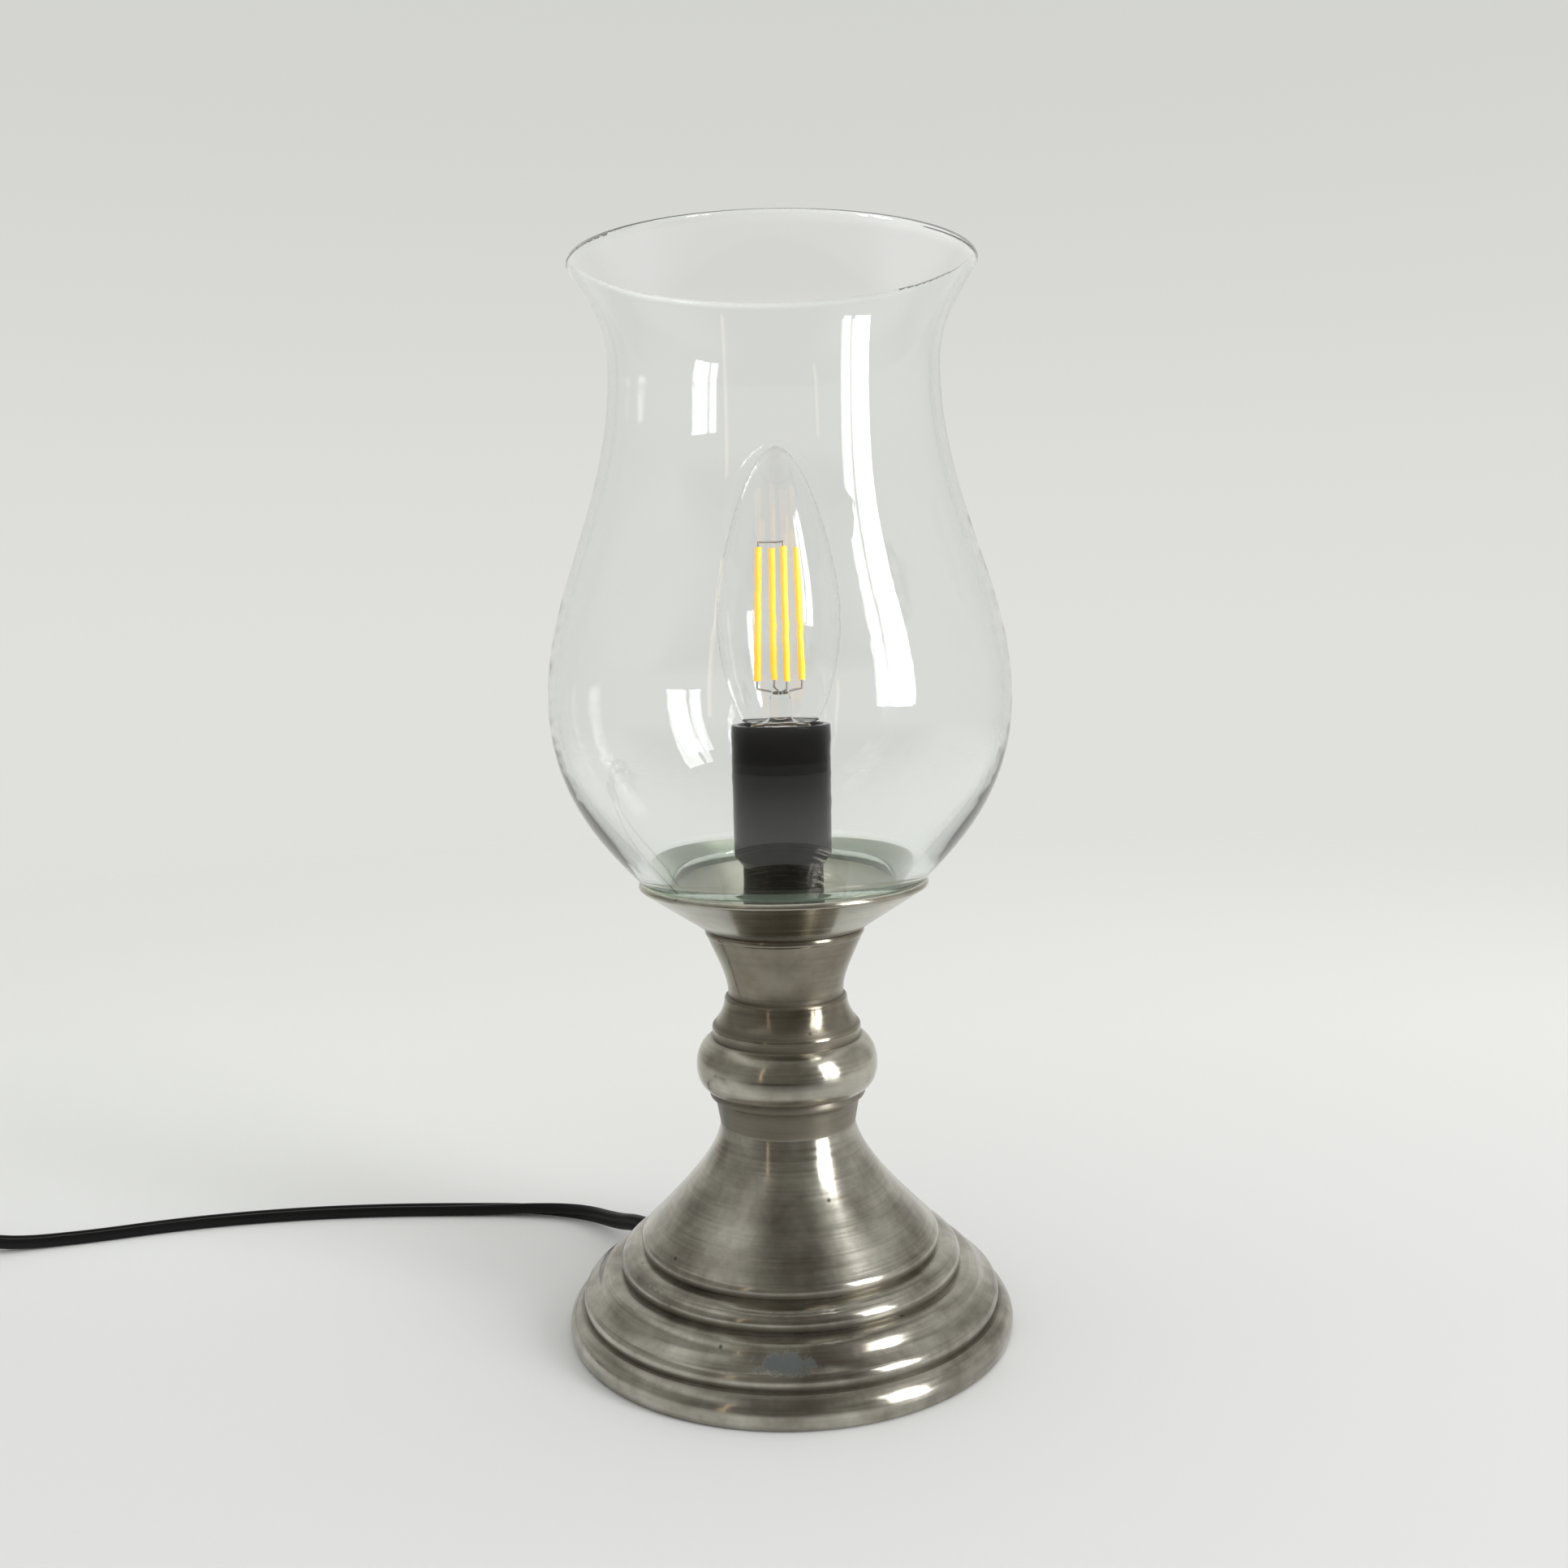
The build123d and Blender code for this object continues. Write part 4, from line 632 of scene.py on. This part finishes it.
# %% Clear glass
GLASS_IOR = 1.5
GLASS_WHITE = linear("#FFFFFF")
GLASS_SHADOW = linear("#FAFBFB")
SHADE_TINT = linear("#D5E8DC")
SHADE_DENSITY = 22.0
BULB_TINT = linear("#E6EDE8")
BULB_DENSITY = 14.0
RIM_RISE = (301.2 * MM, 302.8 * MM)
RIM_CLEAR = 0.86
FOOT_FALL = (133.5 * MM, 130.0 * MM)
FOOT_CLEAR = 0.8
FOOT_GREEN = linear("#B4C1AC")


def clear_glass(name, tint, density, has_edges):
    """Glass that takes its tint from its depth, with a dull rim and foot where it has them."""
    material, tree = new_material(name)
    look = {"Base Color": GLASS_WHITE, "Roughness": 0.0, "IOR": GLASS_IOR, "Transmission Weight": 1.0}
    if has_edges:
        coords = add_node(tree, "ShaderNodeTexCoord").outputs["Object"]
        height = add_node(tree, "ShaderNodeSeparateXYZ", inputs=[coords]).outputs[2]
        rim = add_node(tree, "ShaderNodeMapRange", inputs=[height, *RIM_RISE, 1.0, RIM_CLEAR])
        foot = add_node(tree, "ShaderNodeMapRange", inputs=[height, *FOOT_FALL, 0.0, 1.0])
        clear = add_node(tree, "ShaderNodeMapRange", inputs=[foot, 0.0, 1.0, 1.0, FOOT_CLEAR])
        look["Transmission Weight"] = add_node(tree, "ShaderNodeMath", SMALLER, [rim, clear])
        greens = {"Factor": foot, "A": GLASS_WHITE, "B": FOOT_GREEN}
        look["Base Color"] = add_node(tree, "ShaderNodeMix", COLOURS, greens)
    body = add_node(tree, "ShaderNodeBsdfPrincipled", inputs=look)
    through = add_node(tree, "ShaderNodeBsdfTransparent", inputs={"Color": GLASS_SHADOW})
    in_shadow = add_node(tree, "ShaderNodeLightPath").outputs["Is Shadow Ray"]
    both = add_node(tree, "ShaderNodeMixShader", inputs=[in_shadow, body, through])
    depth = add_node(tree, "ShaderNodeVolumeAbsorption", inputs={"Color": tint, "Density": density})
    add_node(tree, "ShaderNodeOutputMaterial", inputs={"Surface": both, "Volume": depth})
    return material


# The shade is clear in front of the room, with grey-green outlines, a pale rim and a green foot.
shade_glass = clear_glass("blown_soda_lime_glass", SHADE_TINT, SHADE_DENSITY, has_edges=True)
# The bulb's thin glass is nearly colourless, and shows by its outline and highlights alone.
bulb_glass = clear_glass("bulb_soda_lime_glass", BULB_TINT, BULB_DENSITY, has_edges=False)
finish_nodes(shade_glass, "glass_shade")
finish_nodes(bulb_glass, "bulb_glass", "bulb_mount")

# %% [markdown]
# All the other materials of the lamp are even ones: plastics, small metal parts, ceramic and felt. None
# of them is one flat colour on the real thing, though. Colour and gloss drift in soft clouds, from flow
# in the mould, from handling or from stain, and some have a fine grain. So one function makes them all,
# from two colours, the size of the clouds, the range of the roughness and the size of the grain.

# %% Mottled materials
GRAIN_RELIEF = 0.1 * MM


def mottled(name, colours, cloud, detail, gloss, more, grain=0.0, relief=0.0):
    """A material whose colour, and gloss if it has a range, drift in clouds, with a grain if it has one."""
    material, tree = new_material(name)
    coords = add_node(tree, "ShaderNodeTexCoord").outputs["Object"]
    clouds = {"Vector": coords, "Scale": 1 / cloud, "Detail": detail}
    drift = add_node(tree, "ShaderNodeTexNoise", inputs=clouds)
    first, second = [linear(code) for code in colours]
    hue = add_node(tree, "ShaderNodeMix", COLOURS, {"Factor": drift, "A": first, "B": second})
    look = {"Base Color": hue, "Roughness": gloss, **more}
    if isinstance(gloss, tuple):
        drifting = [drift, NOISE_LOW, NOISE_HIGH, *gloss]
        look["Roughness"] = add_node(tree, "ShaderNodeMapRange", inputs=drifting)
    if grain:
        grains = {"Vector": coords, "Scale": 1 / grain, "Detail": 1.0}
        fine = add_node(tree, "ShaderNodeTexNoise", inputs=grains)
        raised = {"Strength": relief, "Distance": GRAIN_RELIEF, "Height": fine}
        look["Normal"] = add_node(tree, "ShaderNodeBump", inputs=raised)
    shader = add_node(tree, "ShaderNodeBsdfPrincipled", inputs=look)
    add_node(tree, "ShaderNodeOutputMaterial", inputs={"Surface": shader})
    return material


print("grain stands up to", round(GRAIN_RELIEF / MM, 2), "mm")

# %% [markdown]
# The holder is moulded in black phenolic resin. The cord, the bushing, the switch and the plug are
# softer black plastics. What tells one black from another is its gloss, so each has its own range of
# roughness. Moulded grain is finer than half a millimetre, and is drawn at about that size so that it
# shows at all.

# %% Black plastics and felt
PLASTIC_DETAIL = 3.0
# Hard and glossy from the mould: the deepest black, which mirrors the window as a thin line.
phenolic = mottled(
    "moulded_phenolic",
    ("#040404", "#080706"),
    cloud=20 * MM,
    detail=PLASTIC_DETAIL,
    gloss=(0.04, 0.07),
    more={"Specular IOR Level": 0.12},
    grain=0.6 * MM,
    relief=0.01,
)
# Matt and slightly grey, as rubber is.
rubber = mottled(
    "bushing_rubber",
    ("#141414", "#1C1C1B"),
    cloud=6 * MM,
    detail=PLASTIC_DETAIL,
    gloss=(0.5, 0.65),
    more={"Specular IOR Level": 0.3},
    grain=0.5 * MM,
    relief=0.15,
)
# Satin: a soft light line runs along each core of the cord.
flex_skin = mottled(
    "cord_pvc",
    ("#09090A", "#101011"),
    cloud=20 * MM,
    detail=PLASTIC_DETAIL,
    gloss=(0.36, 0.46),
    more={"Specular IOR Level": 0.2},
    grain=0.8 * MM,
    relief=0.1,
)
# Finely grained, with a soft sheen on the rounded edges of switch and plug.
case_plastic = mottled(
    "case_abs",
    ("#0D0D0E", "#141415"),
    cloud=20 * MM,
    detail=PLASTIC_DETAIL,
    gloss=(0.28, 0.4),
    more={"Specular IOR Level": 0.4},
    grain=0.5 * MM,
    relief=0.2,
)
# Woven tape: rough, with a relief of threads.
strap_web = mottled(
    "strap_nylon",
    ("#101011", "#1D1D1E"),
    cloud=3 * MM,
    detail=PLASTIC_DETAIL,
    gloss=(0.6, 0.8),
    more={"Specular IOR Level": 0.3},
    grain=0.6 * MM,
    relief=0.6,
)
# Pressed wool: no shine at all, and a nap of short fibres.
felt_wool = mottled(
    "wool_felt",
    ("#161A17", "#2A302B"),
    cloud=2 * MM,
    detail=PLASTIC_DETAIL,
    gloss=(0.85, 0.98),
    more={"Specular IOR Level": 0.1},
    grain=0.4 * MM,
    relief=0.8,
)
finish_nodes(phenolic, "holder_cap", "holder_shell")
finish_nodes(rubber, "cord_bushing")
finish_nodes(case_plastic, "switch_lower_case", "switch_upper_case", "switch_rocker", "plug_body")
for piece in (lead, far_cord, inside_cord):
    piece.data.materials.append(flex_skin)
strap_data.materials.append(strap_web)
felt_data.materials.append(felt_wool)

# %% [markdown]
# Inside the holder and under the foot are plain metals. They hardly show, but each has its own colour
# and a light stain, because someone may take the lamp apart. A metal's colour is the colour of its
# reflection.

# %% Plain metals
STAIN = 4.0
METAL = {"Metallic": 1.0}
# Cool, even grey with a satin shine.
zinc_steel = mottled("zinc_plated_steel", ("#C4C6C8", "#A3A5A6"), 6 * MM, STAIN, (0.28, 0.4), METAL)
# Dark and rough from the sand mould.
cast_iron = mottled("cast_iron", ("#4A4846", "#35322F"), 5 * MM, STAIN, (0.55, 0.75), METAL)
# Yellow with brown stain.
brass = mottled("brass", ("#D9B268", "#B98F4A"), 4 * MM, STAIN, (0.2, 0.34), METAL)
# A brighter, cleaner yellow than the plain brass.
gilt = mottled("gilt_brass_cap", ("#DDB873", "#C79C56"), 4 * MM, STAIN, (0.16, 0.28), METAL)
# Thin warm grey wire.
nickel = mottled("nickel_wire", ("#A9A6A2", "#86827E"), 2 * MM, STAIN, (0.25, 0.4), METAL)
finish_nodes(zinc_steel, "base_plate", "base_screws", "foot_washer", "stem_tube")
finish_nodes(zinc_steel, "bulb_contact", "switch_screws", "plug_pins")
finish_nodes(cast_iron, "base_weight")
finish_nodes(brass, "foot_nut", "thread_liner", "centre_contact", "terminal_screws", "switch_terminals")
finish_nodes(gilt, "bulb_cap")
finish_nodes(nickel, "filament_wires")

# %% [markdown]
# A filament of this kind of bulb is a glass strip under a yellow phosphor gel. Unlit, it is a warm
# yellow that takes up blue daylight and gives it back as yellow, so it looks brighter than paint. A weak
# glow is painted on for that: light that no lamp gives, which also lightens the filaments' shaded
# sides. The holder's insert is unglazed steatite, a white ceramic, and the bulb's contact sits in black
# glass.

# %% Ceramic, black glass and phosphor
COAT_DETAIL = 2.0
PHOSPHOR = ("#FFC524", "#FFB914")
# A painted glow in the phosphor's own yellow, light that no lamp gives.
PAINTED_PHOSPHOR_GLOW = {"Emission Color": linear(PHOSPHOR[0]), "Emission Strength": 0.55}
# Chalky white, without shine.
steatite = mottled("unglazed_steatite", ("#EDEBE4", "#DAD6CC"), 5 * MM, COAT_DETAIL, 0.6, {})
# Black with a hard glassy shine.
vitrite = mottled("black_vitrite", ("#0B0B0E", "#15151A"), 3 * MM, COAT_DETAIL, 0.12, {})
# An even, lively yellow, with a painted glow.
phosphor = mottled("phosphor_gel", PHOSPHOR, 4 * MM, COAT_DETAIL, 0.5, PAINTED_PHOSPHOR_GLOW)
finish_nodes(steatite, "holder_insert")
finish_nodes(vitrite, "bulb_insulator")
finish_nodes(phosphor, "filaments")

# %% [markdown]
# The table is a plain pale sheet, painted a little paler towards the back to stand in for brighter
# light there. Near the lamp it is a real surface that takes its shadow, and further out it fades into
# the pale surroundings, so that no edge shows in the picture.

# %% Table top
TABLE_SIDE = 3.0
table_mesh = bmesh.new()
bmesh.ops.create_grid(table_mesh, x_segments=1, y_segments=1, size=TABLE_SIDE / 2)
table_data = bpy.data.meshes.new("table")
table_mesh.to_mesh(table_data)
table_mesh.free()
table = bpy.data.objects.new("table", table_data)
scene.collection.objects.link(table)
print("table side", TABLE_SIDE, "m")

# %% [markdown]
# A polished stand mirrors the table in front of it, and on the real table that part is darker, because
# whoever takes the picture stands over it, and it ends at a near edge. So a painted shade lies on what
# only reflections see of the table: it grows dim towards the camera, and past that edge it is painted
# dark. The camera itself sees all of it pale.

# %% Table paint
TABLE_NEAR = linear("#E2E2E3")
TABLE_FAR = linear("#E9E9E8")
TABLE_PAINTED_SHADE = linear("#8C8B88")
TABLE_PAINTED_DARK = linear("#1E1C1A")
TABLE_THROUGH = linear("#5C5A58")
TABLE_FADE = (0.45, 1.3)
TABLE_PALER_BACK = (0.0, 0.3)
TABLE_DIMMING = (-0.1, -0.25)
FRONT_EDGE = -0.31
LESS_CLAMPED = {"operation": "SUBTRACT", "use_clamp": True}
table_paint, tree = new_material("pale_table")
coords = add_node(tree, "ShaderNodeTexCoord").outputs["Object"]
reach = add_node(tree, "ShaderNodeVectorMath", {"operation": "LENGTH"}, [coords])
fade = add_node(tree, "ShaderNodeMapRange", SOFT, [reach, *TABLE_FADE])
depth = add_node(tree, "ShaderNodeSeparateXYZ", inputs=[coords]).outputs[1]
paler_back = add_node(tree, "ShaderNodeMapRange", inputs=[depth, *TABLE_PALER_BACK, 0.0, 1.0])
dimming = add_node(tree, "ShaderNodeMapRange", inputs=[depth, *TABLE_DIMMING, 0.0, 1.0])
past_edge = add_node(tree, "ShaderNodeMath", {"operation": "LESS_THAN"}, [depth, FRONT_EDGE])
path = add_node(tree, "ShaderNodeLightPath")
by_camera = path.outputs["Is Camera Ray"]
# Painted shade for reflections only: dim towards the camera, dark past the near edge.
dimmed = add_node(tree, "ShaderNodeMath", LESS_CLAMPED, [dimming, by_camera])
unseen = add_node(tree, "ShaderNodeMath", LESS_CLAMPED, [past_edge, by_camera])
# The paler back of the table is painted light.
pale = add_node(tree, "ShaderNodeMix", COLOURS, {"Factor": paler_back, "A": TABLE_NEAR, "B": TABLE_FAR})
near = add_node(tree, "ShaderNodeMix", COLOURS, {"Factor": dimmed, "A": pale, "B": TABLE_PAINTED_SHADE})
by_glass = path.outputs["Is Transmission Ray"]
unlit = {"Factor": by_glass, "A": TABLE_PAINTED_DARK, "B": TABLE_THROUGH}
beyond = add_node(tree, "ShaderNodeMix", COLOURS, unlit)
top = add_node(tree, "ShaderNodeMix", COLOURS, {"Factor": unseen, "A": near, "B": beyond})
paint = add_node(tree, "ShaderNodeBsdfDiffuse", inputs={"Color": top})
gone = add_node(tree, "ShaderNodeBsdfTransparent")
faded = add_node(tree, "ShaderNodeMixShader", inputs=[fade, paint, gone])
add_node(tree, "ShaderNodeOutputMaterial", inputs={"Surface": faded})
table_data.materials.append(table_paint)
print("table fades from", TABLE_FADE[0], "to", TABLE_FADE[1], "m")

# %% [markdown]
# The room is a soft pale surround, a little darker towards the top. What the metal mirrors is richer:
# pale behind the lamp, on both sides and overhead, and dark towards the camera. That gives the turned
# stand its dark middle.

# %% Room as mirrors see it
RISE = (-0.05, 0.4)
BACK = (0.3, 0.97)
RIGHT = (0.45, 0.9)
RIGHT_SHARE = 0.7
LEFT = (-0.6, -0.95)
LEFT_SHARE = 0.3
BESIDE = (0.2, 0.65)
OVERHEAD = (0.5, 0.8)
world = bpy.data.worlds.new("room")
scene.world = world
world.use_nodes = True
tree = world.node_tree
tree.nodes.clear()
coords = add_node(tree, "ShaderNodeTexCoord").outputs["Generated"]
across, along, up = add_node(tree, "ShaderNodeSeparateXYZ", inputs=[coords]).outputs
high = add_node(tree, "ShaderNodeMapRange", SOFT, [up, *RISE])
back = add_node(tree, "ShaderNodeMapRange", SOFT, [along, *BACK])
right = add_node(tree, "ShaderNodeMapRange", inputs=[across, *RIGHT, 0.0, RIGHT_SHARE])
left = add_node(tree, "ShaderNodeMapRange", inputs=[across, *LEFT, 0.0, LEFT_SHARE])
aside = add_node(tree, "ShaderNodeMath", {"operation": "ABSOLUTE"}, [across])
beside = add_node(tree, "ShaderNodeMapRange", SOFT, [aside, *BESIDE])
overhead = add_node(tree, "ShaderNodeMapRange", SOFT, [up, *OVERHEAD])
ceiling = add_node(tree, "ShaderNodeMath", {"operation": "MULTIPLY"}, [beside, overhead])
sides = add_node(tree, "ShaderNodeMath", LARGER, [right, left])
far = add_node(tree, "ShaderNodeMath", LARGER, [back, sides])
bright = add_node(tree, "ShaderNodeMath", LARGER, [far, ceiling])
print("room of", len(tree.nodes), "nodes so far")

# %% [markdown]
# A Light Path node says which kind of ray asks. The camera and dull surfaces get the plain room, and
# mirrors get the richer one. Rays that come out of glass get one pale tone, so that the glass looks
# clear from every side. Light that falls on dull surfaces is a little stronger, so that a colour renders
# about as written.

# %% Room for each kind of ray
ROOM_HIGH = linear("#D3D4D0")
ROOM_LOW = linear("#E0E0DD")
ROOM_DARK = linear("#7E7C76")
ROOM_PALE = linear("#E4E4E0")
ROOM_THROUGH = linear("#DDDDDA")
ROOM_LEVEL = 1.24
path = add_node(tree, "ShaderNodeLightPath")
by_camera = path.outputs["Is Camera Ray"]
by_mirror = path.outputs["Is Glossy Ray"]
by_glass = path.outputs["Is Transmission Ray"]
seen = add_node(tree, "ShaderNodeMix", COLOURS, {"Factor": high, "A": ROOM_LOW, "B": ROOM_HIGH})
mirrored = add_node(tree, "ShaderNodeMix", COLOURS, {"Factor": bright, "A": ROOM_DARK, "B": ROOM_PALE})
reflected = add_node(tree, "ShaderNodeMix", COLOURS, {"Factor": by_mirror, "A": seen, "B": mirrored})
surround = add_node(tree, "ShaderNodeMix", COLOURS, {"Factor": by_glass, "A": reflected, "B": ROOM_THROUGH})
looked_at = add_node(tree, "ShaderNodeMath", LARGER, [by_camera, by_glass])
direct = add_node(tree, "ShaderNodeMath", LARGER, [looked_at, by_mirror])
level = add_node(tree, "ShaderNodeMapRange", inputs=[direct, 0.0, 1.0, ROOM_LEVEL, 1.0])
light = add_node(tree, "ShaderNodeBackground", inputs={"Color": surround, "Strength": level})
add_node(tree, "ShaderNodeOutputWorld", inputs={"Surface": light})
print("room lights dull surfaces at", ROOM_LEVEL)

# %% [markdown]
# One tall window stands to the right of the camera. Its two panes are two soft lights side by side,
# which draw the split white streak on the glass and the bright spot on every moulding of the stand. A
# thin, weak, warm strip on the left gives the narrow line beside the dark middle.

# %% Window and strip
LIGHT_DISTANCE = 1.9
PANE_CENTRE = 0.84
PANE_TALL = 1.5
STRIP_CENTRE = 0.8
STRIP_TALL = 1.6
WHITE = "#FFFFFF"
WARM = "#FFE6C4"


def soft_light(name, azimuth, centre, wide, tall, radiance, colour):
    """An upright rectangle of even light that faces the lamp's axis."""
    data = bpy.data.lights.new(name, "AREA")
    data.shape = "RECTANGLE"
    data.size = wide
    data.size_y = tall
    data.energy = radiance * wide * tall * math.pi
    data.color = linear(colour)[:3]
    lamp = bpy.data.objects.new(name, data)
    scene.collection.objects.link(lamp)
    turn = math.radians(azimuth)
    outward = Vector((math.sin(turn), -math.cos(turn), 0))
    place = outward * LIGHT_DISTANCE + Vector((0, 0, centre))
    facing = (-outward).to_track_quat("-Z", "Y").to_matrix().to_4x4()
    lamp.matrix_world = Matrix.Translation(place) @ facing
    lamp.visible_camera = False
    print(name, "energy", round(data.energy, 1))


soft_light("window_near_pane", 49.2, PANE_CENTRE, wide=0.18, tall=PANE_TALL, radiance=8.0, colour=WHITE)
soft_light("window_far_pane", 60.2, PANE_CENTRE, wide=0.385, tall=PANE_TALL, radiance=12.0, colour=WHITE)
soft_light("warm_strip", -33.0, STRIP_CENTRE, wide=0.05, tall=STRIP_TALL, radiance=1.8, colour=WARM)

# %% [markdown]
# The last step sets the plain view transform.

# %% View transform
scene.view_settings.view_transform = "Standard"
